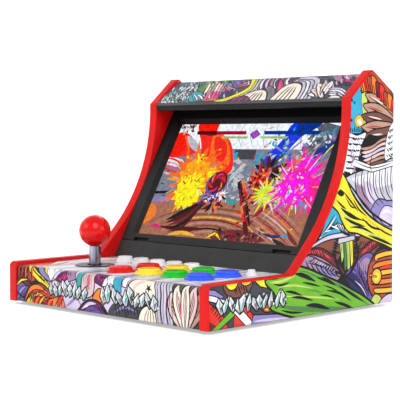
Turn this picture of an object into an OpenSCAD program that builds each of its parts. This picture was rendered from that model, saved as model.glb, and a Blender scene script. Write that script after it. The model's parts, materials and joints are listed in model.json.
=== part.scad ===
// Bartop arcade cabinet: two shaped side panels with push-in edge trim carry a bent
// control deck, a tilted screen bezel, a visor, a marquee and a rear panel.
// Millimetres. +Z up, +Y to the back, +X to the player's right.
// The origin is on the table, under the centre of the cabinet.

/* [Cabinet] */
// Width over both side panels
cab_w = 322.6; // [312:0.2:340]
// Depth of the side panels
cab_d = 302; // [300:1:306]
// Height of the side panels, without the feet
cab_h = 264.6; // [262:0.1:266]
// Thickness of a side panel
side_t = 12.3; // [10:0.1:13]
// Height of the rubber feet
foot_h = 4; // [3:0.5:5]
// How far the edge trim stands out from the panel's edge
trim_t = 1.8; // [1.4:0.1:2.4]

/* [Side profile] */
// Height of the side panel along the control deck
deck_edge_h = 45.5; // [45:0.5:47]
// Depth of the deck's edge, from the front to the knee
knee_y = 128.5; // [122:0.5:130]
// Slope of the panel's front edge above the knee, in degrees
knee_slope = 45; // [43:1:47]
// Depth at which the front edge stands upright, under the marquee
brow_y = 221.7; // [219:0.1:224]
// Height of the lower end of the marquee slope
brow_h = 231; // [229:0.5:233]
// Depth of the peak
peak_y = 260.4; // [258:0.1:262]
// Height of the upper end of the rear edge
shoulder_h = 238.5; // [236:0.5:241]
// Radius of the long hollow curve in front of the screen
curve_r = 210; // [200:1:212]

/* [Control deck] */
// Thickness of the bent sheet
deck_t = 2; // [1.5:0.1:2.5]
// How far the deck lies below the top of the edge trim
deck_drop = 4.2; // [1.8:0.1:5]
// Outer radius of the bend at the front
deck_bend_r = 6; // [4:0.5:8]

/* [Screen] */
// Tilt of the screen from upright, in degrees
screen_tilt = 29.5; // [29:0.5:31]
// Width of the picture
picture_w = 260; // [250:1:264]
// Height of the picture
picture_h = 157; // [154:1:162]
// Depth of the bezel from its front face to the picture
bezel_t = 6.6; // [5:0.1:8]

/* [Controls] */
// Radius of the ball on the joystick
ball_r = 18.2; // [15:0.1:19]
// Height of the ball's centre above the deck
ball_h = 40.1; // [36:0.1:42]
// Tilt of the joystick each way, in degrees
stick_tilt = 8; // [6:0.5:8]
// Radius of a play button's rim
play_rim_r = 16; // [15.5:0.1:16.2]
// Radius of a menu button's rim
menu_rim_r = 10.9; // [10.6:0.1:10.9]
// Travel of a play button
play_travel = 3; // [2:0.5:3]

/* [Hidden] */
$fn = 96;
fit_gap = 0.2;            // clearance between separate boards
inner_x = cab_w / 2 - side_t;    // inner face of a side panel
base_z = foot_h;          // underside of the side panels and the base
deck_z = base_z + deck_edge_h - deck_drop;   // top face of the deck
deck_front = trim_t;      // front face of the bent sheet

// Corners of a side panel as [depth, height], each with the radius of its fillet
slope_rise = brow_y - knee_y;
profile = [
    [0, base_z],
    [0, base_z + deck_edge_h],
    [knee_y, base_z + deck_edge_h],
    [brow_y, base_z + deck_edge_h + slope_rise * tan(knee_slope)],
    [brow_y, base_z + brow_h],
    [peak_y, base_z + cab_h],
    [cab_d, base_z + shoulder_h],
    [cab_d, base_z]
];
fillets = [0.5, 6, 14, curve_r, 4, 5, 2, 2];
concave = [0, 0, 1, 1, 0, 0, 0, 0];
TRIMMED = 5;              // the trim covers the first five edges
arc_steps = [2, 8, 8, 30, 6, 8, 3, 3];

// Tilted screen plane: origin on the seam under the bezel, Y up the plane, Z outwards
seam_y = 161.8;
seam_z = base_z + 62;
seam_gap = 0.9;
side_clear = inner_x - fit_gap;
window_v = 10.8;          // bottom of the picture above the seam
draft_side = 3.4;         // slope of the bezel's inner walls, over the bezel's depth
draft_top = 4.2;
draft_low = 1.2;
notch_w = 26.5;
notch_rise = 4.2;
notch_x = 113.5;

// Visor, marquee and rear panels
panel_t = 3;
panel_drop = 4;           // how far marquee and top lie below the trim
visor_y = 223.2;
visor_z = base_z + 222.2;
visor_t = 2;
marquee_slope = 36;
bezel_h = (visor_z - 0.3 - seam_z) / cos(screen_tilt);   // from the seam to the visor's ceiling
rear_recess = 12;
rear_y = cab_d - rear_recess - panel_t;   // front face of the rear panel
board_t = 5;              // base board

// Joystick, heights from the deck's top face
stick = [-82.9, 63.4];
pivot_drop = 9.5;
sleeve_r = 6.8;
rod_r = 4;
washer_r = 22.7;
washer_hole_r = 9.5;
stick_hole_r = 10.5;
plate_t = 2;
plate_size = [72, 56];
stud_span = [60, 44];
gate_drop = 26.5;

// Buttons: [x, y] on the deck
play_front = [[-12.9, 41], [23.7, 49.7], [60.3, 54.2], [96.8, 53.2]];
row_step = [3, 38.6];
play_back = [for (p = play_front) p + row_step];
menu_first = [-89, 115.2];
menu_pitch = 28;
MENU_COUNT = 5;
menu_spots = [for (i = [0 : MENU_COUNT - 1]) menu_first + [i * menu_pitch, 0]];
service_spot = [111, 117.7];
pilot_spot = [100.9, 117.7];
pilot_r = 2.4;
COLOURS = ["red", "yellow", "green", "blue"];
PAINT = [[0.9, 0.07, 0.08], [0.97, 0.78, 0.05], [0.1, 0.7, 0.15], [0.2, 0.25, 0.9]];
// Each button kind: [rim radius, hole radius, cap radius, cap height, body depth, travel]
PLAY = [play_rim_r, 14.8, 12.6, 6.2, 16, play_travel];
MENU = [menu_rim_r, 10.15, 8.6, 6.5, 14, 1.5];
SERVICE = [6.4, 5.6, 4.1, 6, 9, 1];

// Rear controls and sockets: [x, z]
rocker_spot = [-70, base_z + 60];
jack_spot = [-70, base_z + 24];
knob_spot = [70, base_z + 60];
usb_spots = [[48, base_z + 17], [70, base_z + 17]];

// ---- Outline helpers -------------------------------------------------------------

function unit(v) = v / norm(v);
function left_of(v) = [-v[1], v[0]];
function at(list, i) = list[(i + len(list)) % len(list)];

// Where two lines meet, each given by a point and a direction
function meet(p, u, q, v) =
    let (k = ((q[0] - p[0]) * v[1] - (q[1] - p[1]) * v[0]) / (u[0] * v[1] - u[1] * v[0]))
    p + k * u;

// The profile's corners with each edge moved inwards by its own amount
function inset_corners(pts, d) = [
    for (i = [0 : len(pts) - 1])
        let (
            a = at(pts, i - 1), b = pts[i], c = at(pts, i + 1),
            u = unit(b - a), v = unit(c - b)
        )
        meet(b - left_of(u) * at(d, i - 1), u, b - left_of(v) * at(d, i), v)
];

// A corner replaced by the points of its fillet
function fillet_points(a, b, c, r, steps) =
    let (
        u = unit(b - a), v = unit(c - b),
        turn = atan2(u[0] * v[1] - u[1] * v[0], u * v),
        s = sign(turn), reach = r * tan(abs(turn) / 2),
        start = b - u * reach, centre = start + s * left_of(u) * r,
        from = atan2(start[1] - centre[1], start[0] - centre[0])
    )
    [for (k = [0 : steps]) let (g = from + turn * k / steps) centre + r * [cos(g), sin(g)]];

function rounded(pts, radii, first, last) = [
    for (i = [first : last])
        each fillet_points(at(pts, i - 1), pts[i], at(pts, i + 1), radii[i], arc_steps[i])
];

// Edge offsets: the trimmed edges are moved in by d, the others stay
function trim_offsets(d) = [for (i = [0 : len(profile) - 1]) i < TRIMMED ? d : 0];

function trimmed_radii(d) = [
    for (i = [0 : len(profile) - 1])
        i > TRIMMED ? fillets[i] : max(0.3, fillets[i] + (concave[i] == 1 ? d : -d))
];

function panel_outline(d) =
    rounded(inset_corners(profile, trim_offsets(d)), trimmed_radii(d), 0, len(profile) - 1);

function trim_line(d) =
    rounded(inset_corners(profile, trim_offsets(d)), trimmed_radii(d), 1, TRIMMED);

// Bands that follow the front edge from the foot to the peak, between two depths
function trim_band(outer, inner) =
    let (o = trim_line(outer), i = trim_line(inner), n = len(i))
    concat([[outer, base_z]], o, [for (k = [0 : n - 1]) i[n - 1 - k]], [[inner, base_z]]);

function reversed(list) = [for (i = [len(list) - 1 : -1 : 0]) list[i]];

// ---- Placing helpers -------------------------------------------------------------

// Everything is drawn with its front at Y = 0, and then centred
module place() { translate([0, -cab_d / 2, 0]) children(); }

// An outline in [depth, height], extruded across the cabinet from x0 to x1
module across(x0, x1) {
    translate([x0, 0, 0]) rotate([90, 0, 90]) linear_extrude(x1 - x0) children();
}

module both_sides() {
    children();
    mirror([1, 0, 0]) children();
}

module on_screen_plane() {
    translate([0, seam_y, seam_z]) rotate([90 - screen_tilt, 0, 0]) children();
}

module on_deck(spot) { translate([spot[0], spot[1], deck_z]) children(); }

module on_rear(spot) { translate([spot[0], rear_y + panel_t, spot[1]]) children(); }

module on_stick() { on_deck(stick) children(); }

module box_at(low, high) { translate(low) cube(high - low); }

// A cylinder along +Y
module rod_y(r, y0, y1) { translate([0, y0, 0]) rotate([-90, 0, 0]) cylinder(h = y1 - y0, r = r); }

// ---- Smooth tubes ----------------------------------------------------------------

function catmull(a, b, c, d, t) =
    0.5 * ((2 * b) + (c - a) * t + (2 * a - 5 * b + 4 * c - d) * t * t
        + (3 * b - a - 3 * c + d) * t * t * t);

function smooth_route(pts, steps) =
    let (n = len(pts)) [
        for (i = [0 : n - 2])
            for (k = [0 : steps - 1])
                catmull(pts[max(i - 1, 0)], pts[i], pts[i + 1], pts[min(i + 2, n - 1)], k / steps),
        pts[n - 1]
    ];

// A closed tube of radius r around a line of points; ref is never along the line
module tube(line, r, sides, ref) {
    n = len(line);
    rings = [
        for (i = [0 : n - 1])
            let (
                t = unit(line[min(i + 1, n - 1)] - line[max(i - 1, 0)]),
                a = unit(cross(t, ref)), b = cross(t, a)
            )
            for (k = [0 : sides - 1])
                line[i] + r * (cos(360 * k / sides) * a + sin(360 * k / sides) * b)
    ];
    walls = [
        for (i = [0 : n - 2])
            for (k = [0 : sides - 1])
                let (j = (k + 1) % sides)
                [i * sides + k, (i + 1) * sides + k, (i + 1) * sides + j, i * sides + j]
    ];
    ends = [
        [for (k = [0 : sides - 1]) k],
        [for (k = [sides - 1 : -1 : 0]) (n - 1) * sides + k]
    ];
    polyhedron(rings, concat(walls, ends), 4);
}

// ---- Cabinet ---------------------------------------------------------------------

barb_t = 1.6;             // the trim's tongue, pressed into a slot in the panel's edge
barb_depth = 7;

module side_panel() {
    color("dimgray") difference() {
        across(inner_x, cab_w / 2) polygon(panel_outline(trim_t));
        translate([0, 0, 0]) across(
            cab_w / 2 - side_t / 2 - barb_t / 2 - 0.05, cab_w / 2 - side_t / 2 + barb_t / 2 + 0.05
        ) polygon(trim_band(trim_t - 0.5, trim_t + barb_depth + 0.3));
    }
}

module edge_trim() {
    color("red") {
        across(inner_x, cab_w / 2) polygon(trim_band(0.6, trim_t));
        across(inner_x + 0.9, cab_w / 2 - 0.9) polygon(trim_band(0, 0.7));
        across(cab_w / 2 - side_t / 2 - barb_t / 2, cab_w / 2 - side_t / 2 + barb_t / 2)
            polygon(trim_band(trim_t - 0.1, trim_t + barb_depth));
    }
}

foot_x = 128;
foot_y = [34, 262];
FOOT_SPOTS = [for (x = [-foot_x, foot_x], y = foot_y) [x, y]];
foot_r = 9;
foot_screw_r = 1.75;

module base_board() {
    color("dimgray") difference() {
        box_at(
            [-side_clear, deck_front + deck_t + fit_gap, base_z],
            [side_clear, rear_y - fit_gap, base_z + board_t]
        );
        for (p = FOOT_SPOTS)
            translate([p[0], p[1], base_z - 1]) cylinder(h = board_t + 2, r = foot_screw_r);
    }
}

module rubber_feet() {
    color("black") for (p = FOOT_SPOTS) translate([p[0], p[1], 0]) rotate_extrude() polygon([
        [foot_screw_r + 0.05, 1.6], [3.6, 1.6], [3.6, 0], [foot_r - 0.8, 0],
        [foot_r, 0.8], [foot_r - 0.5, foot_h], [foot_screw_r + 0.05, foot_h]
    ]);
}

module foot_screws() {
    for (p = FOOT_SPOTS) translate([p[0], p[1], 0]) {
        translate([0, 0, 0.2]) cylinder(h = 1.4, r = 3.2);
        translate([0, 0, 1]) cylinder(h = 7.5, r = foot_screw_r - 0.02);
    }
}

// Deck sheet: an upright front, a bend, and a level top
deck_back = seam_y - (seam_z - deck_z) * tan(screen_tilt);
BEND_STEPS = 8;

function bend_arc(r) = [
    for (k = [0 : BEND_STEPS])
        let (g = 180 - 90 * k / BEND_STEPS)
        [deck_front + deck_bend_r, deck_z - deck_bend_r] + r * [cos(g), sin(g)]
];

function deck_section() = concat(
    [[deck_front, base_z + 0.3]], bend_arc(deck_bend_r), [[deck_back, deck_z]],
    [[deck_back, deck_z - deck_t]], reversed(bend_arc(deck_bend_r - deck_t)),
    [[deck_front + deck_t, base_z + 0.3]]
);

STUD_SPOTS = [for (sx = [-0.5, 0.5], sy = [-0.5, 0.5]) [sx * stud_span[0], sy * stud_span[1]]];
stud_r = 1.9;

module control_deck() {
    color("lavender") {
        difference() {
            across(-side_clear, side_clear) polygon(deck_section());
            for (p = concat(play_front, play_back)) deck_hole(p, PLAY[1]);
            for (p = menu_spots) deck_hole(p, MENU[1]);
            deck_hole(service_spot, SERVICE[1]);
            deck_hole(pilot_spot, pilot_r);
            deck_hole(stick, stick_hole_r);
        }
        on_stick() for (p = STUD_SPOTS)
            translate([p[0], p[1], -9.5]) cylinder(h = 9.5 - deck_t / 2, r = stud_r);
    }
}

module deck_hole(spot, r) {
    on_deck(spot) translate([0, 0, -deck_t - 1]) cylinder(h = deck_t + 2, r = r);
}

module lower_fascia() {
    fascia_h = (seam_z - deck_z) / cos(screen_tilt);
    color([0.24, 0.24, 0.25]) on_screen_plane()
        box_at([-side_clear, -fascia_h + 0.3, -panel_t], [side_clear, -seam_gap, 0]);
}

// Four bars whose inner walls slope towards the picture
module screen_bezel() {
    window_top = window_v + picture_h;
    color([0.2, 0.2, 0.21]) on_screen_plane() difference() {
        union() {
            across_plane(-side_clear, side_clear) polygon([
                [0, -bezel_t], [window_v, -bezel_t], [window_v - draft_low, 0], [0, 0]
            ]);
            across_plane(-side_clear, side_clear) polygon([
                [window_top, -bezel_t], [bezel_h, -bezel_t], [bezel_h, 0], [window_top + draft_top, 0]
            ]);
            both_sides() translate([0, 0.01, 0]) rotate([90, 0, 0]) mirror([0, 0, 1])
                linear_extrude(bezel_h - 0.02) polygon([
                    [picture_w / 2, -bezel_t], [side_clear, -bezel_t],
                    [side_clear, 0], [picture_w / 2 + draft_side, 0]
                ]);
        }
        both_sides() box_at([notch_x - notch_w / 2, -1, -4.5], [notch_x + notch_w / 2, notch_rise, 1]);
    }
}

// An outline in the screen plane's [Y, Z], extruded along X
module across_plane(x0, x1) {
    translate([x0, 0, 0]) rotate([90, 0, 90]) linear_extrude(x1 - x0) children();
}

// Speaker grille: rings of holes in the visor's ceiling
speaker_x = 92;
speaker_y = 239;
GRILLE = concat([[0, 0]], [for (k = [0 : 5]) 4 * [cos(60 * k), sin(60 * k)]],
    [for (k = [0 : 11]) 8 * [cos(30 * k), sin(30 * k)]]);

function on_line(p, u, y) = [y, p[1] + u[1] * (y - p[0]) / u[0]];

// Marquee and top panel as lines in [depth, height], with the ridge where they meet
marquee_dir = [cos(marquee_slope), sin(marquee_slope)];
marquee_low = [visor_y, base_z + brow_h + 0.8];
marquee_low_under = marquee_low - panel_t * left_of(marquee_dir);
top_corners = inset_corners(profile, [for (i = [0 : 7]) i == 5 ? panel_drop : 0]);
top_start = top_corners[5];
top_dir = unit(top_corners[6] - top_corners[5]);
top_under = top_start - panel_t * left_of(top_dir);
ridge = meet(marquee_low, marquee_dir, top_start, top_dir);
ridge_under = meet(marquee_low_under, marquee_dir, top_under, top_dir);

module visor() {
    ceiling_back = seam_y + (visor_z - seam_z) * tan(screen_tilt) - 0.3;
    lip_front = on_line(marquee_low_under, marquee_dir, visor_y + 0.6)[1] - 0.1;
    lip_back = on_line(marquee_low_under, marquee_dir, visor_y + visor_t)[1] - 0.1;
    color([0.13, 0.13, 0.14]) difference() {
        across(-side_clear, side_clear) polygon([
            [visor_y, visor_z + 1.2], [visor_y + 0.4, visor_z + 0.35], [visor_y + 1.2, visor_z],
            [ceiling_back, visor_z], [ceiling_back, visor_z + visor_t],
            [visor_y + visor_t, visor_z + visor_t], [visor_y + visor_t, lip_back],
            [visor_y + 0.6, lip_front], [visor_y, lip_front]
        ]);
        for (s = [-1, 1], p = GRILLE)
            translate([s * speaker_x + p[0], speaker_y + p[1], visor_z - 1])
                cylinder(h = visor_t + 2, r = 1.1, $fn = 24);
    }
}

module marquee_panel() {
    foot = on_line(marquee_low_under, marquee_dir, visor_y + 0.6);
    color("thistle") across(-side_clear, side_clear)
        polygon([marquee_low, ridge, ridge_under, foot, [visor_y, foot[1]]]);
}

module top_panel() {
    end_y = rear_y + panel_t + 5;
    seat = 0.15;
    color("dimgray") across(-side_clear, side_clear) polygon([
        on_line(ridge, top_dir, ridge[0] + seat), on_line(ridge, top_dir, end_y),
        on_line(ridge_under, top_dir, end_y), on_line(ridge_under, top_dir, ridge_under[0] + seat)
    ]);
}

// ---- Rear ------------------------------------------------------------------------

rear_top = on_line(ridge_under, top_dir, rear_y + panel_t)[1] - 0.4;
rear_screw_r = 1.6;
REAR_SCREWS = [for (s = [-1, 1], z = [18, 88, 158, 228]) [s * 142, base_z + z]];
VENT_ROWS = 7;
vent_pitch = 9;
jack_hole_r = 6;
knob_hole_r = 3.6;
rocker_cut = [19.4, 13.4];
usb_cut = [15.2, 8];

module rear_panel() {
    color([0.16, 0.16, 0.17]) difference() {
        box_at([-side_clear, rear_y, base_z + 0.2], [side_clear, rear_y + panel_t, rear_top]);
        for (p = REAR_SCREWS) rear_hole(p, rear_screw_r + 0.1);
        rear_hole(jack_spot, jack_hole_r);
        rear_hole(knob_spot, knob_hole_r);
        rear_slot(rocker_spot, rocker_cut);
        for (p = usb_spots) rear_slot(p, usb_cut);
        for (s = [-1, 1], k = [0 : VENT_ROWS - 1])
            rear_slot([s * 62, base_z + 130 + k * vent_pitch], [70, 3.5]);
    }
}

module rear_hole(spot, r) { on_rear(spot) rod_y(r, -panel_t - 1, 1); }

module rear_slot(spot, size) {
    on_rear(spot) box_at([-size[0] / 2, -panel_t - 1, -size[1] / 2], [size[0] / 2, 1, size[1] / 2]);
}

module rear_screws() {
    for (p = REAR_SCREWS) on_rear(p) {
        rod_y(rear_screw_r, -13, 0.3);
        translate([0, 0.02, 0]) rotate([-90, 0, 0]) difference() {
            rotate_extrude() polygon([[0, 0], [3.3, 0], [3.3, 0.9], [2.4, 2], [0, 2.2]]);
            for (g = [0, 90]) rotate([0, 0, g]) translate([-2, -0.4, 1.2]) cube([4, 0.8, 2]);
        }
    }
}

// Timber battens on the inside of the side panels: base, deck, screen and rear
batten = 9.4;

module side_battens() {
    x0 = side_clear - batten;
    color("burlywood") both_sides() {
        difference() {
            box_at([x0, 12, base_z + board_t + 0.1], [side_clear, 270, base_z + board_t + 10]);
            for (y = foot_y) translate([foot_x, y, base_z]) cylinder(h = 20, r = 4);
        }
        box_at([x0, 14, deck_z - deck_t - 10], [side_clear, deck_back - 18, deck_z - deck_t - 0.1]);
        on_screen_plane() box_at([x0, 4, -bezel_t - 12], [side_clear, 176, -bezel_t - 0.1]);
        difference() {
            box_at([x0, rear_y - 12, base_z + board_t + 0.1], [side_clear, rear_y - 0.1, rear_top - 2]);
            for (p = REAR_SCREWS) on_rear([abs(p[0]), p[1]]) rod_y(rear_screw_r + 0.05, -15, 0);
        }
    }
}

rocker_pin_r = 1;

module rocker_housing() {
    w = rocker_cut[0] / 2 - 0.15;
    h = rocker_cut[1] / 2 - 0.15;
    color("black") difference() {
        on_rear(rocker_spot) {
            box_at([-w, -16, -h], [w, 0.2, h]);
            box_at([-w - 1.3, 0.02, -h - 1.3], [w + 1.3, 1.6, h + 1.3]);
        }
        on_rear(rocker_spot) box_at([-w + 1.4, -9, -h + 1.2], [w - 1.4, 2, h - 1.2]);
        on_rear(rocker_spot) rotate([0, 90, 0])
            cylinder(h = 2 * w - 0.8, r = rocker_pin_r + 0.06, center = true);
    }
}

// The paddle rocks about the cabinet's X axis, and rests with its upper half out
module power_rocker() {
    half_h = rocker_cut[1] / 2 - 1.9;
    half_w = rocker_cut[0] / 2 - 1.9;
    color("black") on_rear(rocker_spot) {
        rotate([-8, 0, 0]) rotate([90, 0, 90]) translate([0, 0, -half_w])
            linear_extrude(2 * half_w) polygon([
                [-2.4, -3.2], [-1.2, -half_h + 0.3], [1.9, -half_h], [3.1, -half_h + 0.6], [2.3, 0],
                [3.1, half_h - 0.6], [1.9, half_h], [-1.2, half_h - 0.3], [-2.4, 3.2]
            ]);
        rotate([0, 90, 0]) cylinder(h = 2 * half_w + 2.4, r = rocker_pin_r, center = true);
    }
}

// Barrel socket with its centre pin
module power_jack() {
    color("black") on_rear(jack_spot) {
        difference() {
            union() {
                rod_y(jack_hole_r - 0.1, -14, 0.1);
                rod_y(7.4, 0.02, 1.6);
            }
            rod_y(2.8, -10, 3);
        }
        rod_y(1.05, -12, 0.4);
        translate([0, -panel_t - 2.6, 0]) rotate([-90, 30, 0]) difference() {
            cylinder(h = 2.4, r = 8.6, $fn = 6);
            translate([0, 0, -1]) cylinder(h = 5, r = jack_hole_r - 0.05);
        }
    }
}

module usb_ports() {
    color("silver") for (p = usb_spots) on_rear(p) {
        difference() {
            box_at([-7.2, -17, -3.6], [7.2, -0.2, 3.6]);
            box_at([-6.5, -12, -2.9], [6.5, 1, 2.9]);
        }
        box_at([-5.6, -12.5, 0.1], [5.6, -2.5, 1.9]);
    }
}

knob_stem_r = 2;

module volume_pot() {
    color("gray") on_rear(knob_spot) difference() {
        union() {
            rod_y(8.5, -panel_t - 11, -panel_t - 0.1);
            rod_y(3.5, -panel_t - 0.2, 0.1);
        }
        rod_y(knob_stem_r + 0.06, -panel_t - 9, 1);
    }
}

module volume_knob() {
    color("black") on_rear(knob_spot) translate([0, 0.6, 0]) rotate([-90, 0, 0]) difference() {
        union() {
            rotate_extrude() polygon([
                [0, -8], [knob_stem_r, -8], [knob_stem_r, 0],
                [9, 0], [9, 6.5], [8.2, 9.6], [7.2, 10.2], [0, 10.2]
            ]);
            for (k = [0 : 23])
                rotate([0, 0, 15 * k]) translate([8.8, 0, 0.2]) cylinder(h = 6, r = 0.5, $fn = 16);
        }
        translate([-0.5, 3, 9.4]) cube([1, 5, 2]);
    }
}

// ---- Inside ----------------------------------------------------------------------

module lcd_screen() {
    color("white") on_screen_plane()
        box_at(
            [-picture_w / 2 - 2, window_v - 2, -bezel_t - 1.3],
            [picture_w / 2 + 2, window_v + picture_h + 2, -bezel_t - 0.1]
        );
}

lcd_low = [-picture_w / 2 - 6, window_v - 6, -bezel_t - 6.5];

module lcd_module() {
    color("silver") on_screen_plane() {
        box_at(lcd_low, [picture_w / 2 + 6, window_v + picture_h + 6, -bezel_t - 1.4]);
        box_at([-60, 30, -bezel_t - 9.5], [60, 74, -bezel_t - 6.4]);
    }
}

bracket_x = side_clear - batten - 0.1;

module lcd_brackets() {
    color("silver") on_screen_plane() both_sides() for (v = [24, 146]) {
        box_at([picture_w / 2 - 8, v - 7, -bezel_t - 8], [bracket_x, v + 7, -bezel_t - 6.6]);
        box_at([bracket_x - 1.5, v - 7, -bezel_t - 12], [bracket_x, v + 7, -bezel_t - 7.9]);
    }
}

module speakers() {
    color("dimgray") for (s = [-1, 1])
        translate([s * speaker_x, speaker_y, visor_z + visor_t + 0.1]) rotate_extrude() polygon([
            [0, 1.6], [9.4, 1.6], [9.4, 0], [11, 0], [11, 2], [9, 3], [6, 3.4], [6, 6.4], [0, 6.4]
        ]);
}

pcb_low = [-20, rear_y - 66, base_z + board_t + 5];
pcb_size = [110, 60, 1.6];
PCB_HOLES = [for (x = [5, pcb_size[0] - 5], y = [5, pcb_size[1] - 9]) [pcb_low[0] + x, pcb_low[1] + y]];

module main_board() {
    color("darkgreen") difference() {
        translate(pcb_low) cube(pcb_size);
        for (p = PCB_HOLES) translate([p[0], p[1], pcb_low[2] - 1]) cylinder(h = 4, r = 1.7);
    }
}

module board_standoffs() {
    for (p = PCB_HOLES) translate([p[0], p[1], base_z + board_t + 0.05]) {
        cylinder(h = pcb_low[2] - base_z - board_t - 0.1, r = 2.8, $fn = 6);
        cylinder(h = pcb_low[2] - base_z - board_t + pcb_size[2], r = 1.6);
        translate([0, 0, pcb_low[2] - base_z - board_t + pcb_size[2]]) cylinder(h = 1.6, r = 2.8);
    }
}

// Heat sink, memory, connectors and capacitors
module board_components() {
    top = pcb_low[2] + pcb_size[2] + 0.05;
    color("gray") translate([pcb_low[0], pcb_low[1], top]) {
        difference() {
            translate([18, 20, 0]) cube([24, 24, 9]);
            for (k = [0 : 4]) translate([20.4 + k * 4.6, 19, 2.5]) cube([2.2, 26, 8]);
        }
        for (k = [0 : 2]) translate([50 + k * 12, 24, 0]) cube([9, 14, 1.2]);
        for (k = [0 : 3]) translate([20 + k * 20, 2, 0]) cube([14, 5, 6]);
        for (k = [0 : 2]) translate([16 + k * 11, 52, 0]) cylinder(h = 7, r = 3.2);
    }
}

// ---- Joystick --------------------------------------------------------------------

module stick_plate() {
    color("silver") on_stick() difference() {
        box_at(
            [-plate_size[0] / 2, -plate_size[1] / 2, -deck_t - plate_t],
            [plate_size[0] / 2, plate_size[1] / 2, -deck_t - 0.02]
        );
        translate([0, 0, -deck_t - plate_t - 1]) cylinder(h = plate_t + 3, r = stick_hole_r);
        for (p = STUD_SPOTS) translate([p[0], p[1], -10]) cylinder(h = 12, r = stud_r + 0.2);
    }
}

module stick_nuts() {
    on_stick() for (p = STUD_SPOTS) translate([p[0], p[1], -deck_t - plate_t - 3.2]) difference() {
        cylinder(h = 3.1, r = 4, $fn = 6);
        translate([0, 0, -1]) cylinder(h = 6, r = stud_r + 0.03);
    }
}

house_top = -deck_t - plate_t - 0.05;
house_low = -gate_drop + 2.5;
house_x = 24;
house_y = 19.2;
trunnion_r = 1.5;
trunnion_gap = 0.06;

// Open moulded body: a roof with the pivot's seat, and walls around the four switches
module stick_housing() {
    color("dimgray") on_stick() difference() {
        union() {
            difference() {
                box_at([-house_x, -house_y, house_low], [house_x, house_y, house_top]);
                box_at(
                    [-house_x + 2, -house_y + 2, house_low - 1],
                    [house_x - 2, house_y - 2, house_top - 3]
                );
            }
            translate([0, 0, -pivot_drop - 3.5]) cylinder(h = house_top + pivot_drop + 2, r = 14);
        }
        translate([0, 0, -pivot_drop - 4]) cylinder(h = 20, r = stick_hole_r);
        translate([0, 0, -pivot_drop]) rotate([0, 90, 0])
            cylinder(h = 26, r = trunnion_r + trunnion_gap, center = true);
    }
}

ring_r = 9.4;
ring_bore = 5.2;
ring_h = 4;

// Gimbal ring: turns in the housing about X and carries the shaft's pin along Y
module stick_pivot_ring() {
    color("ivory") on_stick() translate([0, 0, -pivot_drop]) {
        difference() {
            translate([0, 0, -ring_h / 2]) cylinder(h = ring_h, r = ring_r);
            translate([0, 0, -ring_h]) cylinder(h = 2 * ring_h, r = ring_bore);
            rotate([90, 0, 0]) cylinder(h = 30, r = trunnion_r + trunnion_gap, center = true);
        }
        for (s = [-1, 1])
            translate([s * (ring_r - 1), 0, 0]) rotate([0, s * 90, 0]) cylinder(h = 4.4, r = trunnion_r);
    }
}

module stick_pivot_pin() {
    color("silver") on_stick() translate([0, 0, -pivot_drop]) rotate([90, 0, 0])
        cylinder(h = 2 * ring_r - 1, r = trunnion_r, center = true);
}

rod_end = -30.5;

module stick_shaft() {
    color("silver") on_stick() difference() {
        union() {
            translate([0, 0, rod_end]) cylinder(h = ball_h + 8 - rod_end, r = rod_r);
            translate([0, 0, rod_end + 1.2]) cylinder(h = 1, r = rod_r + 1.8);
        }
        translate([0, 0, -pivot_drop]) rotate([90, 0, 0])
            cylinder(h = 12, r = trunnion_r + 0.02, center = true);
    }
}

module stick_sleeve() {
    color("silver") on_stick() difference() {
        translate([0, 0, -3]) cylinder(h = ball_h - ball_r + 3.7, r = sleeve_r);
        translate([0, 0, -5]) cylinder(h = 40, r = rod_r + 0.1);
    }
}

module stick_ball() {
    color("red") on_stick() difference() {
        translate([0, 0, ball_h]) sphere(r = ball_r);
        translate([0, 0, ball_h - ball_r - 2]) cylinder(h = ball_r + 11, r = rod_r + 0.05);
        translate([0, 0, ball_h - ball_r - 2]) cylinder(h = 2.8, r = sleeve_r + 0.15);
    }
}

module stick_dust_washer() {
    color([0.15, 0.15, 0.16]) on_stick() translate([0, 0, 0.02]) rotate_extrude() polygon([
        [washer_hole_r, 0], [washer_r - 0.2, 0], [washer_r, 0.3], [washer_r - 0.3, 1.1],
        [washer_hole_r + 0.2, 1.4], [washer_hole_r, 1.2]
    ]);
}

SPRING_TURNS = 4;
spring_top = -pivot_drop - ring_h / 2 - 1.4;
actuator_top = -18.4;

module stick_spring() {
    wire_r = 0.45;
    climb = actuator_top + 2 * wire_r + 0.1;
    rise = spring_top - wire_r - 0.1 - climb;
    last = SPRING_TURNS * 14;
    turn = [for (k = [0 : last]) let (g = 360 * k / 14) [6 * cos(g), 6 * sin(g), climb + rise * k / last]];
    color("silver") on_stick() tube(turn, wire_r, 6, [0, 0, 1]);
}

module stick_actuator() {
    color("ivory") on_stick() difference() {
        translate([0, 0, -27.6]) cylinder(h = actuator_top + 27.6, r = rod_r + 3);
        translate([0, 0, -32]) cylinder(h = 20, r = rod_r + 0.02);
    }
}

gate_hole = rod_r + 3 + 17 * tan(stick_tilt) + 0.6;

module stick_gate() {
    color("ivory") on_stick() difference() {
        box_at([-house_x, -house_y, -gate_drop], [house_x, house_y, -gate_drop + 2.4]);
        box_at([-gate_hole, -gate_hole, -gate_drop - 1], [gate_hole, gate_hole, -gate_drop + 4]);
    }
}

// Four snap switches with their levers, set around the actuator
module stick_switches() {
    reach = rod_r + 3 + 2.9;
    color("black") on_stick() for (g = [0 : 90 : 270]) rotate([0, 0, g]) {
        box_at([reach + 1.6, -6.4, -23.6], [reach + 7, 6.4, -18.2]);
        box_at([reach, -1, -21.6], [reach + 1.7, 1, -20.2]);
    }
}

// ---- Buttons ---------------------------------------------------------------------

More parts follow.
